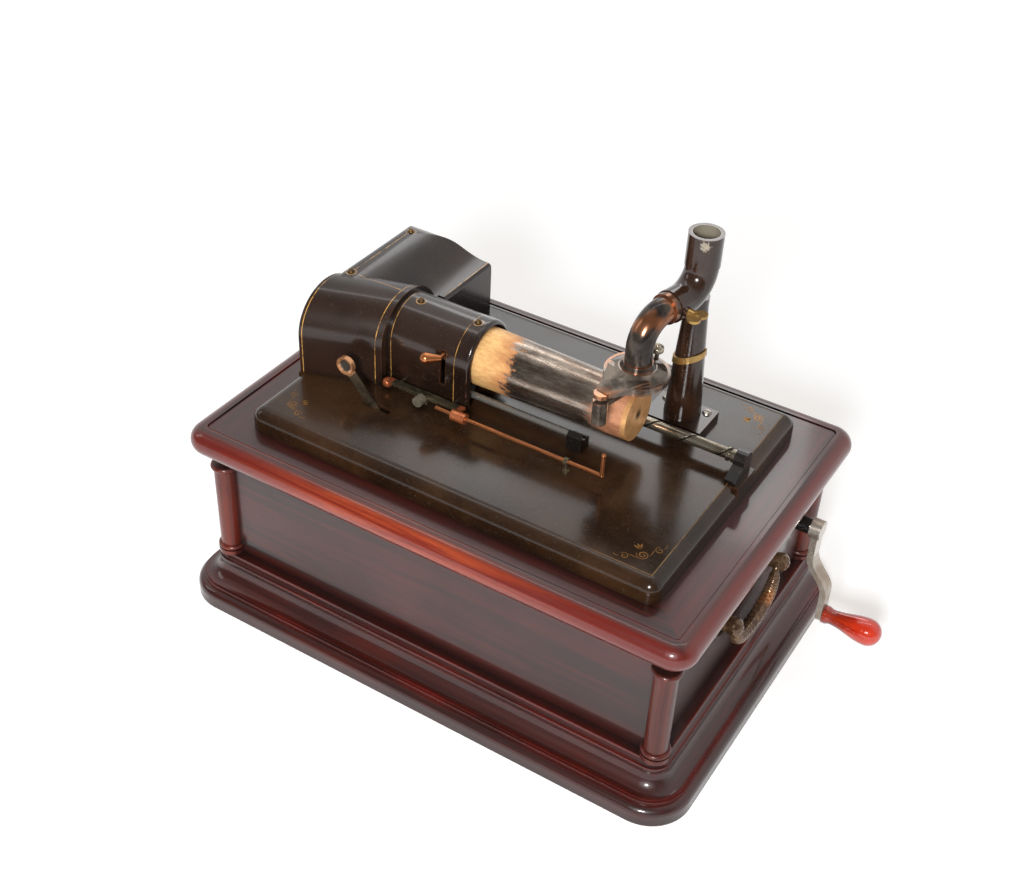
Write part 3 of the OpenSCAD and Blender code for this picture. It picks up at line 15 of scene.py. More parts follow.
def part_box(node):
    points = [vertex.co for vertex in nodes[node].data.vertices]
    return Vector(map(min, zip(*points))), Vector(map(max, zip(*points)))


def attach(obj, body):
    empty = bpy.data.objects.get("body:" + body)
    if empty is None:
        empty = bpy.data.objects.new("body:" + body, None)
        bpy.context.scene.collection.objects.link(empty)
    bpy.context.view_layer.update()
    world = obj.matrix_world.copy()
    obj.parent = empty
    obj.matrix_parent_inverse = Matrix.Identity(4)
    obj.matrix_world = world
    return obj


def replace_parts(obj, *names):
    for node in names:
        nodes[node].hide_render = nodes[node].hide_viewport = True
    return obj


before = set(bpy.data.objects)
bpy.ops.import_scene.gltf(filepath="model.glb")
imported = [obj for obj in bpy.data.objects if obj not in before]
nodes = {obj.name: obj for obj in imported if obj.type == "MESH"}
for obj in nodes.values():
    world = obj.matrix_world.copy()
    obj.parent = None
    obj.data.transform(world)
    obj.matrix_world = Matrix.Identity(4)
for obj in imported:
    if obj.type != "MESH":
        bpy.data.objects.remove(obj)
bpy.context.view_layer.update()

MM = 0.001

# %% [markdown]
# ## The camera
# The photograph looks down on the machine from its right front corner. The place and the three
# directions were solved from the edges of the plinth, the lid and the bedplate, so the camera is
# written as those directions and not as angles turned by hand.

# %% Camera
CAMERA_PLACE = Vector((0.4354, -0.7662, 0.8308))
CAMERA_RIGHT = Vector((0.8474, 0.5295, 0.0397))
CAMERA_UP = Vector((-0.3501, 0.5010, 0.7915))
camera_lens = bpy.data.cameras.new("camera")
camera_lens.lens = 50.37
camera_lens.sensor_width = 36.0
camera = bpy.data.objects.new("camera", camera_lens)
bpy.context.scene.collection.objects.link(camera)
camera_turn = Matrix((CAMERA_RIGHT, CAMERA_UP, CAMERA_RIGHT.cross(CAMERA_UP))).transposed()
camera.matrix_world = Matrix.Translation(CAMERA_PLACE) @ camera_turn.to_4x4()
bpy.context.scene.camera = camera
bpy.context.scene.view_settings.view_transform = "Standard"
print("camera at", [round(v, 3) for v in camera.location])

# %% [markdown]
# ## Helpers for shader nodes
# A node tree is easier to read as formulas. `shader_node` places one node and fills its inputs with
# numbers or with other nodes' sockets, and a few short helpers stand for the steps that nearly
# every finish needs: arithmetic, noise, a soft threshold and a mix of two colours.

# %% Shader helpers
def tone(red, green, blue):
    """A colour given as 0-255 screen values, as the linear colour that a shader wants."""
    parts = [v / 255 for v in (red, green, blue)]
    return tuple(v / 12.92 if v <= 0.04045 else ((v + 0.055) / 1.055) ** 2.4 for v in parts) + (1.0,)


def shader_node(tree, kind, inputs=None, **settings):
    made = tree.nodes.new(kind)
    for name, value in settings.items():
        setattr(made, name, value)
    for name, value in (inputs or {}).items():
        if isinstance(value, bpy.types.NodeSocket):
            tree.links.new(value, made.inputs[name])
        else:
            made.inputs[name].default_value = value
    return made


def calc(tree, operation, a, b=0.0, clamp=False):
    return shader_node(tree, "ShaderNodeMath", {0: a, 1: b}, operation=operation, use_clamp=clamp).outputs[0]


def plus(tree, a, b):
    return calc(tree, "ADD", a, b)


def minus(tree, a, b):
    return calc(tree, "SUBTRACT", a, b)


def times(tree, a, b, clamp=False):
    return calc(tree, "MULTIPLY", a, b, clamp)


def noise(tree, vector, scale, detail=3.0, roughness=0.55, distortion=0.0):
    values = {
        "Vector": vector, "Scale": scale, "Detail": detail,
        "Roughness": roughness, "Distortion": distortion,
    }
    return shader_node(tree, "ShaderNodeTexNoise", values).outputs[0]


def between(tree, value, low, high, to_low=0.0, to_high=1.0):
    values = {"Value": value, "From Min": low, "From Max": high, "To Min": to_low, "To Max": to_high}
    return shader_node(tree, "ShaderNodeMapRange", values, interpolation_type="SMOOTHSTEP").outputs[0]


def blend_colours(tree, factor, a, b):
    return shader_node(tree, "ShaderNodeMix", {0: factor, 6: a, 7: b}, data_type="RGBA").outputs[2]


def stretched(tree, vector, x, y, z):
    return shader_node(tree, "ShaderNodeMapping", {"Vector": vector, "Scale": (x, y, z)}).outputs[0]


def object_place(tree):
    return shader_node(tree, "ShaderNodeTexCoord").outputs["Object"]


def split(tree, vector):
    return shader_node(tree, "ShaderNodeSeparateXYZ", {0: vector}).outputs[:3]


def join(tree, x, y, z):
    return shader_node(tree, "ShaderNodeCombineXYZ", {0: x, 1: y, 2: z}).outputs[0]


# %% [markdown]
# ## Shared effects as node groups
# Old finishes share the same history: edges are rubbed, faces are stained by hands and oil, and
# dust settles on what faces up. Each of these is one node group, built once and placed in every
# finish with its own numbers. A group puts out masks only; the shader stays outside.

# %% Effect groups
def effect_group(name, inputs, outputs):
    tree = bpy.data.node_groups.new(name, "ShaderNodeTree")
    for label, kind, value in inputs:
        socket = tree.interface.new_socket(name=label, in_out="INPUT", socket_type="NodeSocket" + kind)
        if kind == "Float":
            socket.default_value = value
    for label in outputs:
        tree.interface.new_socket(name=label, in_out="OUTPUT", socket_type="NodeSocketFloat")
    return tree, tree.nodes.new("NodeGroupInput").outputs, tree.nodes.new("NodeGroupOutput").inputs


def place_group(tree, group, **values):
    made = tree.nodes.new("ShaderNodeGroup")
    made.node_tree = bpy.data.node_groups[group]
    for name, value in values.items():
        if isinstance(value, bpy.types.NodeSocket):
            tree.links.new(value, made.inputs[name])
        else:
            made.inputs[name].default_value = value
    return made.outputs


def build_edge_wear():
    """Where the surface turns sharply the finish is rubbed, in patches."""
    inputs = [
        ("Vector", "Vector", 0), ("Radius", "Float", 0.001),
        ("Reach", "Float", 0.2), ("Patches", "Float", 60),
    ]
    tree, given, out = effect_group("edge_wear", inputs, ["Mask"])
    rounded = shader_node(tree, "ShaderNodeBevel", {"Radius": given["Radius"]}, samples=4).outputs[0]
    facing = shader_node(tree, "ShaderNodeNewGeometry").outputs["Normal"]
    same = shader_node(tree, "ShaderNodeVectorMath", {0: rounded, 1: facing}, operation="DOT_PRODUCT")
    bend = between(tree, minus(tree, 1.0, same.outputs["Value"]), 0.01, given["Reach"])
    patches = between(tree, noise(tree, given["Vector"], given["Patches"], 4.0), 0.38, 0.62)
    tree.links.new(times(tree, bend, patches, clamp=True), out["Mask"])


def build_stain():
    """Soft blotches and finer specks, as hands and oil leave."""
    inputs = [("Vector", "Vector", 0), ("Scale", "Float", 30)]
    tree, given, out = effect_group("stain", inputs, ["Blotch", "Speck"])
    blotch = between(tree, noise(tree, given["Vector"], given["Scale"], 5.0, 0.6, 0.4), 0.35, 0.68)
    fine = times(tree, given["Scale"], 11.0)
    speck = between(tree, noise(tree, given["Vector"], fine, 2.0), 0.62, 0.74)
    tree.links.new(blotch, out["Blotch"])
    tree.links.new(speck, out["Speck"])


def build_dust():
    """A thin grey film on faces that look up, thicker in patches."""
    tree, given, out = effect_group("dust", [("Vector", "Vector", 0), ("Amount", "Float", 0.1)], ["Mask"])
    up = split(tree, shader_node(tree, "ShaderNodeNewGeometry").outputs["Normal"])[2]
    film = times(tree, between(tree, up, 0.55, 0.98), given["Amount"])
    cloud = between(tree, noise(tree, given["Vector"], 22.0, 5.0, 0.65), 0.35, 0.75, 0.25, 1.0)
    tree.links.new(times(tree, film, cloud), out["Mask"])


def build_grain():
    """Wood figure: long streaks, broad bands and short pores, along the vector's first axis."""
    tree, given, out = effect_group("grain", [("Vector", "Vector", 0)], ["Streak", "Band", "Pore"])
    streak = noise(tree, stretched(tree, given["Vector"], 7, 190, 190), 1.0, 6.0, 0.62, 0.5)
    band = noise(tree, stretched(tree, given["Vector"], 3.5, 26, 26), 1.0, 3.0, 0.5, 0.8)
    pore = noise(tree, stretched(tree, given["Vector"], 70, 1500, 1500), 1.0, 2.0)
    tree.links.new(between(tree, streak, 0.3, 0.7), out["Streak"])
    tree.links.new(between(tree, band, 0.3, 0.7), out["Band"])
    tree.links.new(between(tree, pore, 0.6, 0.72), out["Pore"])


def build_hollow():
    """Painted shade: darker in the hollows, where little of the room is in view."""
    tree, given, out = effect_group("hollow", [("Reach", "Float", 0.01)], ["Mask"])
    around = shader_node(tree, "ShaderNodeAmbientOcclusion", {"Distance": given["Reach"]}, samples=6)
    tree.links.new(between(tree, around.outputs["AO"], 0.92, 0.35), out["Mask"])


for build in (build_edge_wear, build_stain, build_dust, build_grain, build_hollow):
    build()
print("effect groups", sorted(g.name for g in bpy.data.node_groups))


# %% [markdown]
# ## A finish is one function
# Each finish makes a material, works out its colour, roughness and bump from the effects, and hands
# them to one Principled shader. Numbers that are the same all over the surface sit on the shader's
# own sockets.

# %% Finish helper
def new_finish(name):
    material = bpy.data.materials.new(name)
    material.use_nodes = True
    tree = material.node_tree
    shader = tree.nodes["Principled BSDF"]
    return material, tree, shader


def feed(tree, shader, colour=None, roughness=None, metallic=None, height=None, bump=0.1, step=0.0002):
    for name, value in (("Base Color", colour), ("Roughness", roughness), ("Metallic", metallic)):
        if isinstance(value, bpy.types.NodeSocket):
            tree.links.new(value, shader.inputs[name])
        elif value is not None:
            shader.inputs[name].default_value = value
    if height is not None:
        made = shader_node(tree, "ShaderNodeBump", {"Strength": bump, "Distance": step, "Height": height})
        tree.links.new(made.outputs[0], shader.inputs["Normal"])


# %% [markdown]
# ## Mahogany
# The case is dark red mahogany under old varnish, painted nearly black with shade in the hollows
# and rubbed to red on the rounded edges. On the lid's front rim, where hands wear it, the rubbed red
# is painted with a bright glow of light through the varnish. The boards' grain runs along their
# length, and the frames of the lid and plinth are mitred, so there the grain turns at the corners.
# One function makes all of them, told how the grain runs.

# %% Mahogany
WOOD = (tone(24, 7, 4), tone(52, 13, 8), tone(94, 28, 15))
# Lighter, redder mahogany for the turned columns: partly their own tone, partly painted light on their round
# faces.
COLUMN_WOOD = (tone(50, 14, 9), tone(96, 30, 18), tone(140, 56, 32))
# The darkest tone colours the grain's pores and also the painted shade in the hollows.
WOOD_RUBBED, WOOD_PAINTED_GLOW, WOOD_PORE_AND_SHADE = tone(134, 29, 15), tone(202, 88, 38), tone(10, 6, 5)
# Where hands lift the lid its rim is worn, and there its rubbed red is painted with a lit glow:
# left of the middle, fading to both sides
HAND_WEAR_GLOW_LEFT, HAND_WEAR_GLOW_REACH = 0.015, (0.19, 0.02)


def half_plan(node):
    """Half the width and half the depth of a solid, seen from above."""
    low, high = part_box(node)
    return (high[0] - low[0]) / 2, (high[1] - low[1]) / 2


def from_frame_edges(tree, x, y, half):
    """How far in from a frame's ends, and how far in from its sides."""
    to_end = minus(tree, half[0], calc(tree, "ABSOLUTE", x))
    to_side = minus(tree, half[1], calc(tree, "ABSOLUTE", y))
    return to_end, to_side


def grain_vector(tree, run, frame_half):
    """Object coordinates with the grain's direction first, which turns at a mitred frame's corners."""
    place = object_place(tree)
    x, y, z = split(tree, place)
    along_x, along_y, along_z = place, join(tree, y, x, z), join(tree, z, x, y)
    if run != "mitre":
        return {"x": along_x, "y": along_y, "z": along_z}[run]
    to_end, to_side = from_frame_edges(tree, x, y, frame_half)
    at_end = calc(tree, "LESS_THAN", to_end, to_side)
    mixed = shader_node(tree, "ShaderNodeMix", {0: at_end, 4: along_x, 5: along_y}, data_type="VECTOR")
    return mixed.outputs[1]


def rim_mask(tree, half, reach):
    """One on the outer rim of a frame, falling to nothing `reach` further in."""
    x, y, _ = split(tree, object_place(tree))
    to_end, to_side = from_frame_edges(tree, x, y, half)
    return between(tree, calc(tree, "MINIMUM", to_end, to_side), reach, 0.3 * reach)


def mahogany(name, run, frame_half=(0.2, 0.2), glow=0.35, edge=0.0035, rim=None, varnish=0.6, tones=WOOD):
    material, tree, shader = new_finish(name)
    place = object_place(tree)
    grain = place_group(tree, "grain", Vector=grain_vector(tree, run, frame_half))
    stain = place_group(tree, "stain", Vector=place, Scale=7.0)
    colour = blend_colours(tree, grain["Band"], tones[0], tones[1])
    colour = blend_colours(tree, times(tree, grain["Streak"], 0.5), colour, tones[2])
    colour = blend_colours(tree, times(tree, stain["Blotch"], 0.5), colour, tones[0])
    wear = place_group(tree, "edge_wear", Vector=place, Radius=edge, Reach=0.16, Patches=11.0)["Mask"]
    # `hands` marks the lid's front zone that hands wear and that is painted with a glow of light.
    hands = 0.0
    if rim:
        x, y, _ = split(tree, place)
        hands = between(tree, calc(tree, "ABSOLUTE", plus(tree, x, HAND_WEAR_GLOW_LEFT)), *HAND_WEAR_GLOW_REACH)
        hands = times(tree, hands, calc(tree, "LESS_THAN", y, 0.0))
        streaky = plus(tree, 0.3, times(tree, grain["Streak"], 0.7))
        thin = plus(tree, 0.5, times(tree, times(tree, hands, streaky), 0.5))
        wear = calc(tree, "MAXIMUM", wear, times(tree, rim_mask(tree, frame_half, rim), thin))
    # Painted light: in that zone the grain's streaks take the bright glow of light through the varnish.
    bright = times(tree, times(tree, grain["Streak"], hands), 0.7)
    # `rubbed` holds the rubbed red and, on the lid's front, the painted glow.
    rubbed = blend_colours(tree, bright, WOOD_RUBBED, WOOD_PAINTED_GLOW)
    colour = blend_colours(tree, times(tree, wear, glow), colour, rubbed)
    colour = blend_colours(tree, times(tree, grain["Pore"], 0.45), colour, WOOD_PORE_AND_SHADE)
    # Painted shade: the wood is darkened nearly to black in the hollows, and made rougher there.
    hollow_shade = place_group(tree, "hollow", Reach=0.016)["Mask"]
    colour = blend_colours(tree, times(tree, hollow_shade, 0.85), colour, WOOD_PORE_AND_SHADE)
    roughness = plus(tree, times(tree, stain["Blotch"], 0.10), 0.30)
    roughness = plus(tree, roughness, times(tree, hollow_shade, 0.25))
    height = minus(tree, times(tree, grain["Streak"], 0.3), grain["Pore"])
    feed(tree, shader, colour, roughness, height=height, bump=0.10)
    shader.inputs["Specular IOR Level"].default_value = 0.35
    shader.inputs["Coat Weight"].default_value = varnish
    shader.inputs["Coat Roughness"].default_value = 0.09
    return material


wood_lid = mahogany("mahogany_lid", "mitre", half_plan("lid_frame"), glow=0.85, edge=0.004, rim=0.012)
wood_plinth = mahogany("mahogany_plinth", "mitre", half_plan("plinth"), glow=0.6, edge=0.004)
wood_bead = mahogany("mahogany_bead", "mitre", half_plan("bead_moulding"), glow=0.9, edge=0.003)
wood_front = mahogany("mahogany_front", "x", glow=0.2)
wood_side = mahogany("mahogany_side", "y", glow=0.2)
wood_column = mahogany("mahogany_column", "z", glow=0.3, edge=0.004, varnish=0.3, tones=COLUMN_WOOD)
print("mahogany finishes made")

# %% [markdown]
# ## Enamel over cast iron
# The bedplate and the covers are iron castings under stoved enamel, brown where light gets into it.
# The enamel is thin at the edges, where copper-coloured undercoat shows. The gold lines are painted
# on it: each is a thin band about a plane or about a screw, worn away in places. Inside the elbow's
# mouth the wall is painted pale with light falling in, and below its rim one patch is worn.

# %% Gold lines
GOLD_LINE = tone(194, 144, 74)
COVER_TOP, COVER_SCREWS = 0.2470, ((-0.1635, -0.0010), (-0.1622, 0.0780))
SHROUD_TOP, SHROUD_SCREWS = 0.2400, ((-0.0970, -0.0008), (-0.0450, -0.0008))
BED_HALF, BED_HEIGHT = half_plan("bedplate"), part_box("bedplate")[1][2]
BED_TOP, LINE_INSET = BED_HEIGHT - 0.0015, 0.0095


def line_at(tree, value, place, width=0.0004):
    """A thin band where a coordinate or a distance takes one value."""
    away = calc(tree, "ABSOLUTE", minus(tree, value, place))
    return between(tree, away, width, 0.6 * width)


def inside(tree, value, low, high):
    over = calc(tree, "GREATER_THAN", value, low)
    return times(tree, over, calc(tree, "LESS_THAN", value, high))


def from_axis(tree, x, y, centre):
    """The distance from an axis that runs square to the two coordinates."""
    dx, dy = minus(tree, x, centre[0]), minus(tree, y, centre[1])
    return calc(tree, "SQRT", plus(tree, times(tree, dx, dx), times(tree, dy, dy)))


def ring_at(tree, x, y, centre, radius):
    return line_at(tree, from_axis(tree, x, y, centre), radius, 0.0005)


def cover_lines(tree):
    """Lines on the drive cover: at its left end, shoulder and collar, on its arm and round the screws."""
    x, y, z = split(tree, object_place(tree))
    top = calc(tree, "GREATER_THAN", z, COVER_TOP)
    left_end = times(tree, line_at(tree, x, -0.1706), calc(tree, "LESS_THAN", y, -0.004))
    shoulder = times(tree, line_at(tree, x, -0.1150), calc(tree, "LESS_THAN", y, 0.034))
    across_arm = times(tree, line_at(tree, y, -0.0010), inside(tree, x, -0.159, -0.116))
    along_arm = times(tree, line_at(tree, x, -0.1630), inside(tree, y, 0.004, 0.0735))
    collar = times(tree, line_at(tree, x, -0.1056), calc(tree, "GREATER_THAN", z, 0.2242))
    rings = [times(tree, ring_at(tree, x, y, screw, 0.0042), top) for screw in COVER_SCREWS]
    return [left_end, shoulder, times(tree, across_arm, top), times(tree, along_arm, top), collar] + rings


def shroud_lines(tree):
    """Lines at both ends of the shroud and round its screws."""
    x, y, z = split(tree, object_place(tree))
    top = calc(tree, "GREATER_THAN", z, SHROUD_TOP)
    rings = [times(tree, ring_at(tree, x, y, screw, 0.0038), top) for screw in SHROUD_SCREWS]
    return [line_at(tree, x, -0.1070), line_at(tree, x, -0.0490)] + rings


def bed_lines(tree):
    """One line round the bedplate's flat top, worn away except at the right."""
    x, y, z = split(tree, object_place(tree))
    out_x = minus(tree, calc(tree, "ABSOLUTE", x), BED_HALF[0] - LINE_INSET)
    out_y = minus(tree, calc(tree, "ABSOLUTE", y), BED_HALF[1] - LINE_INSET)
    kept = times(tree, calc(tree, "GREATER_THAN", z, BED_TOP), between(tree, x, 0.08, 0.16))
    return [times(tree, line_at(tree, calc(tree, "MAXIMUM", out_x, out_y), 0.0), kept)]


# %% Enamel
ENAMEL_EDGE, DUST_TONE = tone(138, 84, 54), tone(128, 114, 98)
# The last tone is the painted shade in the enamel's hollows.
SPECK_TONE, HOLLOW_SHADE_TONE = tone(170, 160, 148), tone(12, 10, 9)
MOUTH_AXIS, MOUTH_BORE, MOUTH_LIGHT_FADE = (0.101, 0.062), 0.0100, (0.318, 0.330)
WORN_PATCH, WORN_REACH = (0.1068, 0.0484, 0.3385), (0.0102, 0.0086)


def lit_mouth_and_worn_patch(tree, place, colour):
    """Painted light, pale inside the mouth toward its rim; and one patch below the rim where the paint is
    worn off.
    """
    x, y, z = split(tree, place)
    bore = between(tree, from_axis(tree, x, y, MOUTH_AXIS), MOUTH_BORE + 0.0007, MOUTH_BORE + 0.0002)
    # Painted light: the bore is painted pale toward the rim, where light falls in.
    pale = times(tree, bore, between(tree, z, *MOUTH_LIGHT_FADE, 0.0, 0.8))
    colour = blend_colours(tree, pale, colour, tone(152, 144, 128))
    away = shader_node(tree, "ShaderNodeVectorMath", {0: place, 1: WORN_PATCH}, operation="DISTANCE")
    ragged = times(tree, noise(tree, place, 480.0, 5.0, 0.7), 0.012)
    worn = between(tree, plus(tree, away.outputs["Value"], ragged), *WORN_REACH)
    return blend_colours(tree, times(tree, worn, 0.75), colour, tone(180, 166, 144))


def enamel(name, deep, warm, roughness, wear_share, edge=0.0016, dust=0.06,
           lines=None, gold=0.8, gloss=0.5, bare=None):
    material, tree, shader = new_finish(name)
    place = object_place(tree)
    stain = place_group(tree, "stain", Vector=place, Scale=13.0)
    colour = blend_colours(tree, stain["Blotch"], deep, warm)
    wear = place_group(tree, "edge_wear", Vector=place, Radius=edge, Reach=0.22, Patches=75.0)["Mask"]
    colour = blend_colours(tree, times(tree, wear, wear_share), colour, ENAMEL_EDGE)
    settled = place_group(tree, "dust", Vector=place, Amount=dust)["Mask"]
    colour = blend_colours(tree, settled, colour, DUST_TONE)
    specks = place_group(tree, "stain", Vector=place, Scale=48.0)["Speck"]
    colour = blend_colours(tree, times(tree, specks, 0.06), colour, SPECK_TONE)
    # Painted shade: the enamel is darkened in the hollows.
    hollow_shade = place_group(tree, "hollow", Reach=0.006)["Mask"]
    colour = blend_colours(tree, times(tree, hollow_shade, 0.6), colour, HOLLOW_SHADE_TONE)
    for mask in lines(tree) if lines else []:
        kept = times(tree, mask, between(tree, noise(tree, place, 150.0, 4.0), 0.34, 0.56, 0.15, gold))
        colour = blend_colours(tree, kept, colour, GOLD_LINE)
    # The elbow's mouth gets painted light inside and a worn patch below its rim.
    if bare:
        colour = bare(tree, place, colour)
    rough = plus(tree, times(tree, stain["Blotch"], 0.10), roughness)
    rough = plus(tree, rough, times(tree, settled, 0.8))
    shiny = times(tree, wear, 0.6 * wear_share)
    ripple = noise(tree, place, 240.0, 3.0)
    feed(tree, shader, colour, rough, shiny, ripple, 0.04)
    shader.inputs["Specular IOR Level"].default_value = 0.22
    shader.inputs["Coat Weight"].default_value = gloss
    shader.inputs["Coat Roughness"].default_value = 0.13
    return material


COVER_BROWN = tone(26, 15, 10), tone(44, 28, 20)
bed_enamel = enamel("bed_enamel", tone(32, 19, 10), tone(58, 37, 20), 0.16, 0.3, edge=0.002, dust=0.03,
                    lines=bed_lines, gold=0.35, gloss=0.24)
cover_enamel = enamel("cover_enamel", *COVER_BROWN, 0.24, 0.4, lines=cover_lines, gold=1.0, gloss=0.45)
shroud_enamel = enamel("shroud_enamel", *COVER_BROWN, 0.22, 0.4, lines=shroud_lines, gloss=0.6)
horn_enamel = enamel("horn_enamel", tone(32, 19, 12), tone(62, 39, 27), 0.14, 0.35, edge=0.0022, dust=0.03,
                     gloss=0.6, bare=lit_mouth_and_worn_patch)
iron_black = enamel("black_iron", tone(14, 13, 12), tone(27, 24, 21), 0.17, 0.2, edge=0.001, dust=0.03,
                    gloss=0.7)
print("enamels made")


# %% [markdown]
# ## Metals
# The bright parts are steel, brass and copper plate that have darkened with age. A tarnish colour
# covers the flats in blotches, and the metal stays bright on the edges. The oxidised bronze is the
# other way round: nearly black, with copper showing where it is rubbed.

# %% Metals
def metal(name, bright, tarnish, cover, roughness, lines=(60, 60, 60), full=1.0):
    """`cover` is tarnish's share, `lines` stretches the drawn lines, `full` is the bare metal's shine."""
    material, tree, shader = new_finish(name)
    place = object_place(tree)
    stain = place_group(tree, "stain", Vector=place, Scale=42.0)
    wear = place_group(tree, "edge_wear", Vector=place, Radius=0.0008, Reach=0.25, Patches=90.0)
    covered = times(tree, stain["Blotch"], cover)
    covered = times(tree, covered, minus(tree, 1.0, wear["Mask"]), clamp=True)
    colour = blend_colours(tree, covered, bright, tarnish)
    rough = plus(tree, times(tree, covered, 0.25), roughness)
    height = noise(tree, stretched(tree, place, *lines), 20.0, 2.0)
    shiny = minus(tree, full, times(tree, covered, 0.35 * full))
    feed(tree, shader, colour, rough, shiny, height, 0.06)
    return material


def oxidised(name, dark, pale, copper_tone, share, edge, patches=0.57):
    """Copper plate blackened on purpose: dark all over, copper again on rubbed edges and in a few patches."""
    material, tree, shader = new_finish(name)
    place = object_place(tree)
    wear = place_group(tree, "edge_wear", Vector=place, Radius=edge, Reach=0.34, Patches=45.0)["Mask"]
    patch = between(tree, noise(tree, place, 30.0, 2.0, 0.5, 0.6), patches, patches + 0.11)
    bare = times(tree, calc(tree, "MAXIMUM", wear, times(tree, patch, 0.8)), share, clamp=True)
    cloud = place_group(tree, "stain", Vector=place, Scale=60.0)["Blotch"]
    black = blend_colours(tree, cloud, dark, pale)
    colour = blend_colours(tree, bare, black, copper_tone)
    rough = plus(tree, 0.13, times(tree, cloud, 0.10))
    feed(tree, shader, colour, rough, plus(tree, 0.55, times(tree, bare, 0.35)), cloud, 0.03)
    shader.inputs["Specular IOR Level"].default_value = 0.4
    return material


def lying_axis(node):
    """The y and z of the axis of a round solid that lies along x."""
    low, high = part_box(node)
    return (low[1] + high[1]) / 2, (low[2] + high[2]) / 2


ROD_AXIS, ROD_PITCH = lying_axis("rear_rod"), 0.03
BALL_END, FERRULE = -0.0985, (-0.0385, -0.024)
PAD_CENTRE, PAD_RIM, PAD_DISH = (-0.1244, 0.2103), (0.0095, 0.0080), (0.0052, 0.0046)


def spiral_rod():
    """The rear rod is drawn steel with one long spiral line turned into it."""
    material, tree, shader = new_finish("spiral_rod")
    place = object_place(tree)
    x, y, z = split(tree, place)
    turn = calc(tree, "ARCTAN2", minus(tree, z, ROD_AXIS[1]), minus(tree, y, ROD_AXIS[0]))
    wound = plus(tree, calc(tree, "DIVIDE", x, ROD_PITCH), calc(tree, "DIVIDE", turn, 2 * math.pi))
    off_line = calc(tree, "ABSOLUTE", minus(tree, calc(tree, "FRACT", wound), 0.5))
    groove = between(tree, off_line, 0.05, 0.03)
    stain = place_group(tree, "stain", Vector=place, Scale=40.0)["Blotch"]
    colour = blend_colours(tree, stain, tone(158, 150, 134), tone(112, 100, 84))
    colour = blend_colours(tree, groove, colour, tone(40, 34, 28))
    rough = plus(tree, 0.24, times(tree, groove, 0.3))
    feed(tree, shader, colour, rough, 0.9, minus(tree, 1.0, groove), 0.3, 0.0004)
    return material


def guide_bar():
    """The guide bar is dark steel; the ball at its left end and the ferrule on the rod are copper."""
    material, tree, shader = new_finish("guide_bar")
    place = object_place(tree)
    x = split(tree, place)[0]
    at_ball = calc(tree, "LESS_THAN", x, BALL_END)
    at_ferrule = inside(tree, x, *FERRULE)
    stain = place_group(tree, "stain", Vector=place, Scale=70.0)["Blotch"]
    bar = blend_colours(tree, stain, tone(98, 88, 68), tone(44, 40, 32))
    wear = place_group(tree, "edge_wear", Vector=place, Radius=0.0007, Reach=0.3, Patches=60.0)["Mask"]
    bar = blend_colours(tree, wear, bar, tone(206, 184, 132))
    ends = blend_colours(tree, stain, tone(206, 122, 78), tone(150, 78, 46))
    colour = blend_colours(tree, calc(tree, "MAXIMUM", at_ball, at_ferrule), bar, ends)
    feed(tree, shader, colour, plus(tree, 0.26, times(tree, stain, 0.14)), 0.6, stain, 0.03)
    return material


def lever_finish():
    """The start lever has a dark stem; its ring pad is rubbed to copper round a dark dish."""
    material, tree, shader = new_finish("lever_brass")
    place = object_place(tree)
    x, _, z = split(tree, place)
    out = from_axis(tree, x, z, PAD_CENTRE)
    stain = place_group(tree, "stain", Vector=place, Scale=80.0)["Blotch"]
    stem = blend_colours(tree, stain, tone(106, 92, 72), tone(46, 40, 33))
    ring = blend_colours(tree, stain, tone(206, 150, 106), tone(150, 98, 64))
    colour = blend_colours(tree, between(tree, out, *PAD_RIM), stem, ring)
    colour = blend_colours(tree, between(tree, out, *PAD_DISH), colour, tone(84, 78, 70))
    feed(tree, shader, colour, plus(tree, 0.24, times(tree, stain, 0.14)), 0.6, stain, 0.03)
    return material


steel = metal("steel", tone(150, 145, 136), tone(84, 76, 66), 0.75, 0.25, lines=(6, 160, 160))
dark_rod = metal("dark_rod", tone(170, 166, 158), tone(82, 77, 70), 0.6, 0.16, lines=(6, 160, 160), full=0.8)
nickel = metal("crank_nickel", tone(190, 182, 170), tone(132, 108, 88), 0.7, 0.24, full=0.85)
bright_nickel = metal("screw_nickel", tone(188, 178, 158), tone(92, 80, 62), 0.8, 0.2, full=0.8)
brass = metal("brass", tone(190, 152, 90), tone(114, 88, 50), 0.65, 0.24, full=0.85)
screw_brass = metal("screw_brass", tone(122, 92, 50), tone(58, 44, 28), 0.8, 0.3)
copper = metal("copper", tone(190, 120, 76), tone(116, 68, 40), 0.75, 0.27)
bronze_dark = oxidised("bronze", tone(34, 28, 25), tone(78, 69, 61), tone(184, 116, 76), 0.6, 0.0032)
# Painted sheen: the sound box and the weight get a paler copy of the same bronze, for the light lying on
# them.
bronze_pale = oxidised("bronze_pale", tone(66, 57, 50), tone(132, 120, 108), tone(200, 128, 84),
                       0.85, 0.0036, patches=0.52)
handle_bronze = oxidised("handle_bronze", tone(72, 53, 39), tone(126, 98, 74), tone(196, 130, 86),
                         0.9, 0.0009)
gold_paint = metal("gold_paint", tone(150, 106, 52), tone(92, 64, 34), 0.8, 0.38)
spiral_steel, guide_steel, lever_brass = spiral_rod(), guide_bar(), lever_finish()
print("metals made")


# %% [markdown]
# ## The mandrel's worn plate
# The mandrel is nickel plated, and a century of records sliding on and off has rubbed it. Bare
# yellow metal shows at the left, pink copper at the right, and between them the plate is grey and
# streaked. The bands follow the axis, so the material reads the Object X coordinate.

# %% Mandrel plate
LEFT_BARE, RIGHT_BARE = (-0.0045, -0.0105), (0.058, 0.076)
BROWN_EDGE, DARK_STRETCH = (-0.030, -0.006), (0.034, -0.004)
MANDREL_AXIS = lying_axis("mandrel_end")


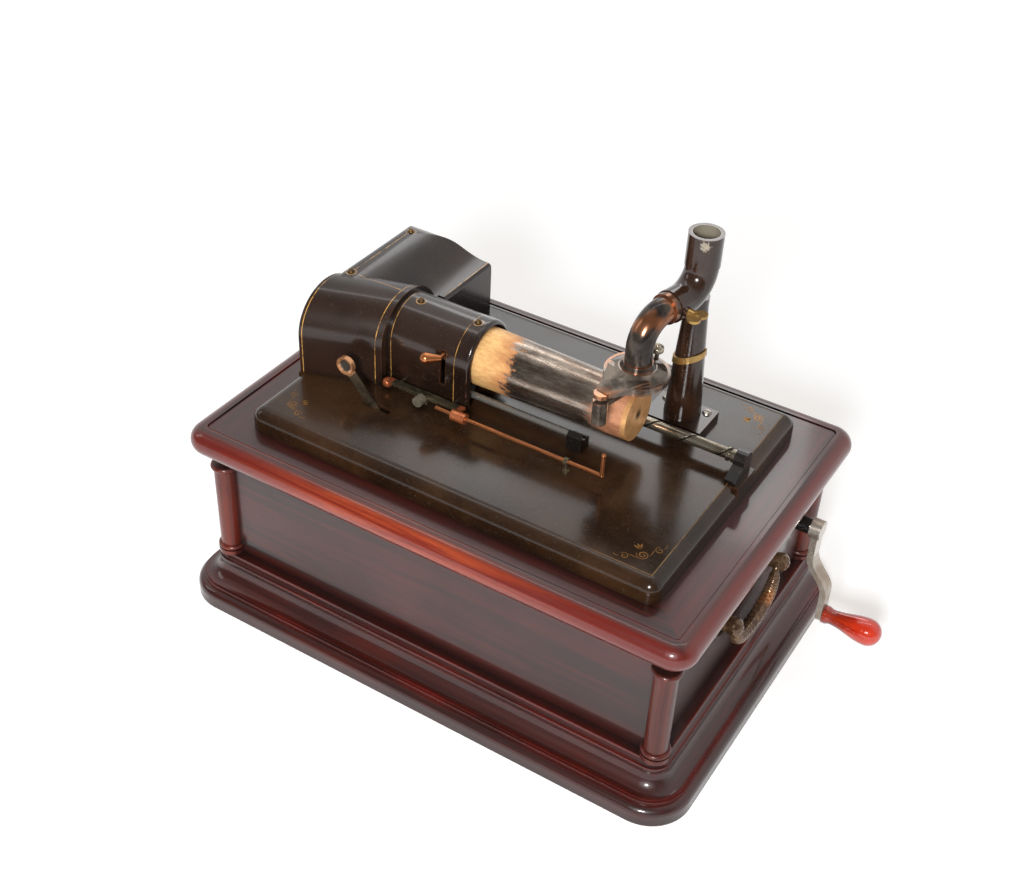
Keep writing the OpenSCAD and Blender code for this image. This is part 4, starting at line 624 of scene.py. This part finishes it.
def mandrel_plate():
    material, tree, shader = new_finish("mandrel_plate")
    place = object_place(tree)
    along = split(tree, place)[0]
    ragged = noise(tree, stretched(tree, place, 55, 130, 130), 1.0, 8.0, 0.72, 0.3)
    shifted = plus(tree, along, times(tree, minus(tree, ragged, 0.5), 0.05))
    left_bare = between(tree, shifted, *LEFT_BARE)
    right_bare = between(tree, shifted, *RIGHT_BARE)
    streak = noise(tree, stretched(tree, place, 26, 150, 150), 1.0, 8.0, 0.72, 0.3)
    mottle = noise(tree, stretched(tree, place, 140, 420, 420), 1.0, 4.0, 0.7)
    rings = noise(tree, stretched(tree, place, 900, 16, 16), 1.0, 3.0)
    plate = blend_colours(tree, between(tree, streak, 0.28, 0.72), tone(100, 82, 70), tone(184, 170, 156))
    plate = blend_colours(tree, between(tree, mottle, 0.45, 0.7, 0.0, 0.5), plate, tone(92, 72, 58))
    dark_near = times(tree, between(tree, along, *DARK_STRETCH), between(tree, ragged, 0.60, 0.40))
    plate = blend_colours(tree, times(tree, dark_near, 0.7), plate, tone(54, 42, 35))
    rust = times(tree, between(tree, mottle, 0.56, 0.66), between(tree, streak, 0.52, 0.36))
    plate = blend_colours(tree, times(tree, rust, 0.6), plate, tone(160, 104, 66))
    yellow = blend_colours(tree, between(tree, mottle, 0.38, 0.68), tone(248, 198, 130), tone(226, 168, 106))
    edge_brown = between(tree, shifted, *BROWN_EDGE)
    yellow = blend_colours(tree, times(tree, edge_brown, 0.75), yellow, tone(190, 116, 70))
    pink = blend_colours(tree, between(tree, ragged, 0.35, 0.65), tone(214, 150, 112), tone(168, 112, 80))
    colour = blend_colours(tree, left_bare, plate, yellow)
    colour = blend_colours(tree, right_bare, colour, pink)
    bare = calc(tree, "MAXIMUM", left_bare, right_bare)
    rough = plus(tree, 0.15, times(tree, bare, 0.25))
    rough = plus(tree, rough, times(tree, mottle, 0.14))
    shiny = minus(tree, 0.9, times(tree, bare, 0.6))
    feed(tree, shader, colour, rough, shiny, rings, 0.08, 0.0001)
    return material


def end_disc():
    material, tree, shader = new_finish("mandrel_end_disc")
    place = object_place(tree)
    _, y, z = split(tree, place)
    radius = from_axis(tree, y, z, MANDREL_AXIS)
    turned = noise(tree, join(tree, times(tree, radius, 900.0), 0.0, 0.0), 1.0, 3.0)
    stain = place_group(tree, "stain", Vector=place, Scale=70.0)
    colour = blend_colours(tree, stain["Blotch"], tone(232, 176, 116), tone(196, 138, 86))
    colour = blend_colours(tree, between(tree, radius, 0.006, 0.0015), colour, tone(88, 56, 34))
    rough = plus(tree, 0.34, times(tree, stain["Blotch"], 0.15))
    feed(tree, shader, colour, rough, 0.45, turned, 0.08, 0.0001)
    return material


mandrel_worn, mandrel_disc = mandrel_plate(), end_disc()
print("mandrel finishes made")


# %% [markdown]
# ## Leather, mica and the crank's varnished knob
# The belt is plain leather with a fine grain, the diaphragm a pale brittle disc, and the knob a
# turned piece of wood under clear red varnish, which shows as a coat on the shader. The knob's
# neck is painted in shade and its bulb painted bright, with the orange of light through the varnish.

# %% Soft and varnished finishes
def leather():
    material, tree, shader = new_finish("belt_leather")
    place = object_place(tree)
    cells = shader_node(tree, "ShaderNodeTexVoronoi", {"Vector": place, "Scale": 900.0}).outputs["Distance"]
    stain = place_group(tree, "stain", Vector=place, Scale=25.0)
    colour = blend_colours(tree, stain["Blotch"], tone(88, 58, 38), tone(58, 37, 25))
    feed(tree, shader, colour, plus(tree, 0.55, times(tree, stain["Blotch"], 0.15)), 0.0, cells, 0.3)
    return material


def mica():
    material, tree, shader = new_finish("mica_disc")
    place = object_place(tree)
    flakes = noise(tree, place, 130.0, 4.0)
    colour = blend_colours(tree, flakes, tone(196, 184, 160), tone(160, 142, 112))
    feed(tree, shader, colour, between(tree, flakes, 0.3, 0.7, 0.2, 0.4), 0.0, flakes, 0.05)
    return material


# Along x the knob runs from its neck, painted dark as shade, to its bulb, painted bright as lit.
KNOB_SHADE_TO_LIGHT = (0.247, 0.276)


def knob_varnish():
    material, tree, shader = new_finish("knob_varnish")
    place = object_place(tree)
    grain = place_group(tree, "grain", Vector=place)
    # Painted shade and light: the neck is dark, the bulb bright red, and the grain streaks take the orange of
    # light glowing through the varnish.
    bulb = between(tree, split(tree, place)[0], *KNOB_SHADE_TO_LIGHT)
    colour = blend_colours(tree, bulb, tone(92, 11, 6), tone(184, 32, 13))
    colour = blend_colours(tree, times(tree, grain["Streak"], 0.5), colour, tone(230, 74, 32))
    # Darker where the surface turns sharply.
    wear = place_group(tree, "edge_wear", Vector=place, Radius=0.002, Reach=0.2, Patches=50.0)
    colour = blend_colours(tree, times(tree, wear["Mask"], 0.5), colour, tone(52, 16, 12))
    rough = plus(tree, 0.16, times(tree, grain["Pore"], 0.1))
    feed(tree, shader, colour, rough, 0.0, grain["Streak"], 0.04)
    shader.inputs["Coat Weight"].default_value = 0.7
    shader.inputs["Coat Roughness"].default_value = 0.05
    return material


belt_leather, mica_disc, knob_red = leather(), mica(), knob_varnish()
print("leather, mica and varnish made")

# %% [markdown]
# ## Dressing the solids
# Each CAD node gets one finish through its material slot. The solids themselves aren't touched.

# %% Give each solid its finish
FINISHES = [
    (wood_lid, "lid_frame"),
    (wood_plinth, "plinth"),
    (wood_bead, "bead_moulding"),
    (wood_front, "front_wall back_wall bottom_board"),
    (wood_side, "left_wall right_wall"),
    (wood_column, "corner_columns"),
    (bed_enamel, "bedplate"),
    (cover_enamel, "drive_cover"),
    (shroud_enamel, "shroud"),
    (horn_enamel, "horn_column horn_elbow"),
    (iron_black, "rod_block rear_post rod_bracket shaft_bearings carriage motor_plates crank_sleeve"),
    (dark_rod, "front_rod"),
    (spiral_steel, "rear_rod"),
    (steel, "drive_shaft winding_arbor crank_shaft middle_arbor governor motor_pillars mainspring"),
    (steel, "bed_screws stylus mandrel_hub"),
    (lever_brass, "start_lever"),
    (bright_nickel, "clamp_screw"),
    (nickel, "crank_arm"),
    (mandrel_worn, "mandrel_shell"),
    (mandrel_disc, "mandrel_end"),
    (brass, "column_spring thumb_screw main_gear spring_barrel governor_weights"),
    (screw_brass, "cover_screws"),
    (brass, "drive_pulley belt_pulley case_hinges lid_hinges"),
    (guide_steel, "stop_bar"),
    (copper, "stop_rod feed_knob"),
    (handle_bronze, "handle_plates right_handle left_handle"),
    (bronze_dark, "gooseneck"),
    (bronze_pale, "sound_box floating_weight"),
    (belt_leather, "belt"),
    (mica_disc, "diaphragm"),
    (knob_red, "crank_knob"),
]
dressed = set()
for finish, names in FINISHES:
    for name in names.split():
        nodes[name].data.materials.clear()
        nodes[name].data.materials.append(finish)
        dressed.add(name)
print("dressed", len(dressed), "solids; left over:", sorted(set(nodes) - dressed))

# %% [markdown]
# ## Painted scrolls
# Three corners of the bedplate carry a small gold scroll: a spiral, a curl along each edge, and a
# sprig of three leaves. Each stroke is a flat ribbon that swells in its middle, drawn from a corner
# of the bedplate's flat top and mirrored for the other corners.

# %% Ribbons and scrolls
SCROLL_INSET, PAINT = 0.0100, 0.00006
BED_FLAT = (BED_HALF[0] - SCROLL_INSET, BED_HALF[1] - SCROLL_INSET, BED_HEIGHT)


def mesh_object(name, shape, material):
    mesh = bpy.data.meshes.new(name)
    shape.to_mesh(mesh)
    shape.free()
    mesh.materials.append(material)
    made = bpy.data.objects.new(name, mesh)
    bpy.context.scene.collection.objects.link(made)
    return made


def ribbon(shape, points, width):
    """A flat strip along the points, widest in its middle: a grid of one row, bent to the stroke."""
    last = len(points) - 1
    for corner in bmesh.ops.create_grid(shape, x_segments=last, y_segments=1, size=1.0)["verts"]:
        i, side = round((corner.co.x + 1) / 2 * last), corner.co.y
        ahead = points[min(i + 1, last)] - points[max(i - 1, 0)]
        across = Vector((-ahead.y, ahead.x, 0)).normalized()
        corner.co = points[i] + across * side * width * (0.2 + 0.3 * math.sin(math.pi * i / last))


def spiral(centre, start, turns, inner, outer):
    steps = int(abs(turns) * 16)
    spots = []
    for i in range(steps + 1):
        share = i / steps
        angle, radius = start + turns * 2 * math.pi * share, inner + (outer - inner) * share
        spots.append((centre[0] + radius * math.cos(angle), centre[1] + radius * math.sin(angle)))
    return spots


def leaf(base, angle, length):
    steps = (0.0, 0.25, 0.5, 0.75, 1.0)
    return [(base[0] + length * t * math.cos(angle), base[1] + length * t * math.sin(angle)) for t in steps]


def scroll_strokes():
    """Strokes in mm from the corner: first along the front edge, then along the side edge."""
    strokes = [(spiral((14, 14), 0.6, 1.9, 0.6, 4.6), 0.9)]
    for swap in (False, True):
        curl = spiral((24.5, 6.5), 2.2, -1.3, 0.5, 3.4)
        tail = [(15.5, 9.6), (18.0, 9.3), (20.5, 9.6), (22.6, 9.5)]
        tendril = [(27.4, 4.6), (29.0, 3.9), (31.0, 4.2), (32.6, 5.2)]
        for stroke, width in ((curl, 0.8), (tail, 0.7), (tendril, 0.6)):
            strokes.append(([(b, a) if swap else (a, b) for a, b in stroke], width))
    for angle in (0.25, 0.785, 1.32):
        strokes.append((leaf((18.2, 18.2), angle, 6.0), 1.7))
    return strokes


def paint_scroll(name, side_x, side_y):
    shape = bmesh.new()
    for stroke, width in scroll_strokes():
        spots = [(side_x * (BED_FLAT[0] - a * MM), side_y * (BED_FLAT[1] - b * MM)) for a, b in stroke]
        ribbon(shape, [Vector((x, y, BED_FLAT[2] + PAINT)) for x, y in spots], width * MM)
    bmesh.ops.recalc_face_normals(shape, faces=shape.faces[:])
    bmesh.ops.solidify(shape, geom=shape.faces[:], thickness=PAINT)
    bmesh.ops.recalc_face_normals(shape, faces=shape.faces[:])
    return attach(mesh_object(name, shape, gold_paint), "lid")


scrolls = [
    paint_scroll("scroll_front_right", 1, -1),
    paint_scroll("scroll_front_left", -1, -1),
    paint_scroll("scroll_back_right", 1, 1),
]
print("scrolls", [len(made.data.polygons) for made in scrolls])

# %% [markdown]
# ## Wound handles and a turned screw
# Each drop handle is a bent rod wound with ribs: circles along a smooth path, which
# `bmesh.ops.bridge_loops` joins one to the next. The screw behind the neck of the sound box is
# round about an axis, so it starts as half an outline, which `bmesh.ops.spin` turns right round.

# %% Turned pieces and bows
POST_X = 0.2035


def turned(name, outline, centre, axis, material, steps=24):
    """An outline of (along, out) pairs, turned about an axis through the centre."""
    shape = bmesh.new()
    axis = Vector(axis).normalized()
    out = axis.orthogonal().normalized()
    spots = [shape.verts.new(Vector(centre) + axis * a + out * r) for a, r in outline]
    edges = [shape.edges.new(pair) for pair in zip(spots, spots[1:])]
    bmesh.ops.spin(shape, geom=spots + edges, cent=centre, axis=axis, angle=2 * math.pi, steps=steps,
                   use_merge=True)
    bmesh.ops.remove_doubles(shape, verts=shape.verts[:], dist=1e-7)
    bmesh.ops.recalc_face_normals(shape, faces=shape.faces[:])
    for face in shape.faces:
        face.smooth = True
    return mesh_object(name, shape, material)


BOW_PATH = [
    (47, 97), (42.5, 96.8), (39.8, 92.5), (40.2, 85), (36.5, 76), (24, 69.5), (6, 67.5),
    (-12, 69.5), (-24.5, 76), (-28.2, 85), (-27.8, 92.5), (-30.5, 96.8), (-35, 97),
]
PIN_RADIUS, GRIP_SWELL, RIB_HEIGHT = 0.0026, 0.0028, 0.0005
GRIP_START, GRIP_SPAN = 0.18, 0.64


def smooth_path(points, steps):
    """Points along a curve that runs through the given ones."""
    ends = [points[0]] + points + [points[-1]]
    made = []
    for a, b, c, d in zip(ends, ends[1:], ends[2:], ends[3:]):
        for i in range(steps):
            t = i / steps
            bend, twist = a - 2.5 * b + 2 * c - 0.5 * d, 1.5 * (b - c) + 0.5 * (d - a)
            made.append(b + 0.5 * t * (c - a) + t * t * bend + t * t * t * twist)
    return made + [points[-1]]


def wound_bow(name, side, sides=14, ribs=40):
    """A drop handle: one bent rod, thick and wound with ribs in its middle, thin at the pins."""
    path = smooth_path([Vector((side * POST_X, y * MM, z * MM)) for y, z in BOW_PATH], 20)
    shape, rings = bmesh.new(), []
    for i, spot in enumerate(path):
        share = i / (len(path) - 1)
        along = (path[min(i + 1, len(path) - 1)] - path[max(i - 1, 0)]).normalized()
        across = Vector((1, 0, 0))
        up = along.cross(across)
        grip = min(max((share - GRIP_START) / GRIP_SPAN, 0.0), 1.0)
        middle = max(0.0, math.sin(math.pi * grip))
        rib = RIB_HEIGHT * abs(math.sin(math.pi * ribs * share)) if middle > 0.05 else 0.0
        radius = PIN_RADIUS + GRIP_SWELL * middle ** 0.6 + rib
        turn = Matrix((-up, across, along)).transposed().to_4x4()
        bmesh.ops.create_circle(shape, segments=sides, radius=radius, matrix=Matrix.Translation(spot) @ turn)
        shape.edges.ensure_lookup_table()
        rings.append(shape.edges[-sides:])
    for one, two in zip(rings, rings[1:]):
        bmesh.ops.bridge_loops(shape, edges=one + two)
    for end in (rings[0], rings[-1]):
        bmesh.ops.edgeloop_fill(shape, edges=end)
    bmesh.ops.recalc_face_normals(shape, faces=shape.faces[:])
    for face in shape.faces:
        face.smooth = True
    return mesh_object(name, shape, handle_bronze)


for side, body, node in ((1, "bail_right", "right_handle"), (-1, "bail_left", "left_handle")):
    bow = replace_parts(wound_bow("bow_" + body, side), node)
    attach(bow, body)
    print(bow.name, len(bow.data.polygons))

ARM_ALONG = Vector((-0.2187, -0.9758, 0.0))
COLUMN_AXIS = Vector((*MOUTH_AXIS, 0.0))
SCREW_OUT, SCREW_UP = 0.041, 0.2550
screw_foot = COLUMN_AXIS + ARM_ALONG * SCREW_OUT + Vector((0, 0, SCREW_UP))
screw_outline = [
    (0, 0), (0, 0.0016), (0.0065, 0.0016), (0.0068, 0.0042), (0.0075, 0.0047), (0.0105, 0.0047),
    (0.0112, 0.0042), (0.0112, 0.0022), (0.0128, 0.0020), (0.0132, 0.0014), (0.0132, 0),
]
hinge_screw = turned("hinge_screw", screw_outline, screw_foot, (0, 0, 1), bright_nickel)
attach(hinge_screw, "reproducer")
print("hinge screw", [round(v, 4) for v in screw_foot])

# %% [markdown]
# ## Floor and light
# The machine stands on a white sweep under big soft lamps. The floor adds a little white of its own
# for the rays that the camera and the mirrors send, so it reads as white paper but still takes the
# machine's shadow. Near the machine that own white is warm and the paper cool, which paints a warm
# tint of light into the shadow. A low key lamp at the front throws that shadow, a strip above and a
# lamp behind give the sheen, and a weak lamp fills the left. In polished faces the room is white
# behind the machine and dim in front of it.

# %% Floor
FLOOR_SIZE, FLOOR_DROP = 8.0, 0.0003
# Painted warm light in the shadow: near the machine the floor's own white is warm and its paper cool, so the
# lit floor sums to white and the shadow stays warm; further out the own white is neutral and stronger.
WARM_SHADOW_TINT, FAR_TINT = (1.0, 0.85, 0.70, 1.0), (1.0, 0.97, 0.94, 1.0)


def seen_rays(tree):
    """Light Path's outputs, and a mask of the rays that look: from the camera, a mirror or glass."""
    rays = shader_node(tree, "ShaderNodeLightPath").outputs
    seen = calc(tree, "MAXIMUM", rays["Is Camera Ray"], rays["Is Glossy Ray"])
    return rays, calc(tree, "MAXIMUM", seen, rays["Is Transmission Ray"])


def floor_paper():
    material, tree, shader = new_finish("floor_paper")
    tree.nodes.remove(shader)
    _, seen = seen_rays(tree)
    paper = shader_node(tree, "ShaderNodeBsdfDiffuse", {"Color": (0.76, 0.83, 0.90, 1.0)}).outputs[0]
    away = shader_node(tree, "ShaderNodeVectorMath", {0: object_place(tree)}, operation="LENGTH")
    far = between(tree, away.outputs["Value"], 0.75, 2.4)
    tint = blend_colours(tree, far, WARM_SHADOW_TINT, FAR_TINT)
    level = plus(tree, 0.43, times(tree, far, 0.52))
    own_white = {"Color": tint, "Strength": times(tree, seen, level)}
    white = shader_node(tree, "ShaderNodeEmission", own_white).outputs[0]
    both = shader_node(tree, "ShaderNodeAddShader", {0: paper, 1: white}).outputs[0]
    tree.links.new(both, tree.nodes["Material Output"].inputs["Surface"])
    return material


sweep = bmesh.new()
below = Matrix.Translation((0, 0, -FLOOR_DROP))
bmesh.ops.create_grid(sweep, x_segments=1, y_segments=1, size=FLOOR_SIZE, matrix=below)
floor = mesh_object("floor", sweep, floor_paper())
print("floor", [round(v, 2) for v in floor.dimensions])


# %% Light
def soft_lamp(name, place, aim, width, height, watts):
    lamp = bpy.data.lights.new(name, "AREA")
    lamp.shape, lamp.size, lamp.size_y, lamp.energy = "RECTANGLE", width, height, watts
    made = bpy.data.objects.new(name, lamp)
    bpy.context.scene.collection.objects.link(made)
    made.location = place
    made.rotation_euler = (Vector(aim) - Vector(place)).to_track_quat("-Z", "Y").to_euler()


soft_lamp("key_lamp", (0.58, -1.62, 1.12), (0.0, 0.0, 0.15), 0.34, 0.34, 36.0)
soft_lamp("top_strip", (-0.25, 0.40, 1.60), (0.0, 0.0, 0.2), 1.6, 0.12, 2.4)
soft_lamp("sheen_lamp", (-0.62, 1.42, 1.30), (-0.1, 0.0, 0.2), 0.85, 0.4, 3.6)
soft_lamp("left_lamp", (-1.3, -0.6, 1.0), (0.0, 0.0, 0.2), 0.3, 0.8, 2.0)

FRONT_WALL, ROOM_LIGHT = 0.16, 0.42
world = bpy.data.worlds.new("white_room")
world.use_nodes = True
bpy.context.scene.world = world
sky = world.node_tree
rays, seen = seen_rays(sky)
toward_back = split(sky, shader_node(sky, "ShaderNodeTexCoord").outputs["Generated"])[1]
mirrored = between(sky, toward_back, -0.35, 0.30, FRONT_WALL, 1.0)
seen_white = calc(sky, "MAXIMUM", rays["Is Camera Ray"], times(sky, seen, mirrored))
plain = times(sky, minus(sky, 1.0, seen), ROOM_LIGHT)
strength = plus(sky, seen_white, plain)
sky.nodes["Background"].inputs["Color"].default_value = (1.0, 1.0, 1.0, 1.0)
sky.links.new(strength, sky.nodes["Background"].inputs["Strength"])
print("lamps", len(bpy.data.lights))
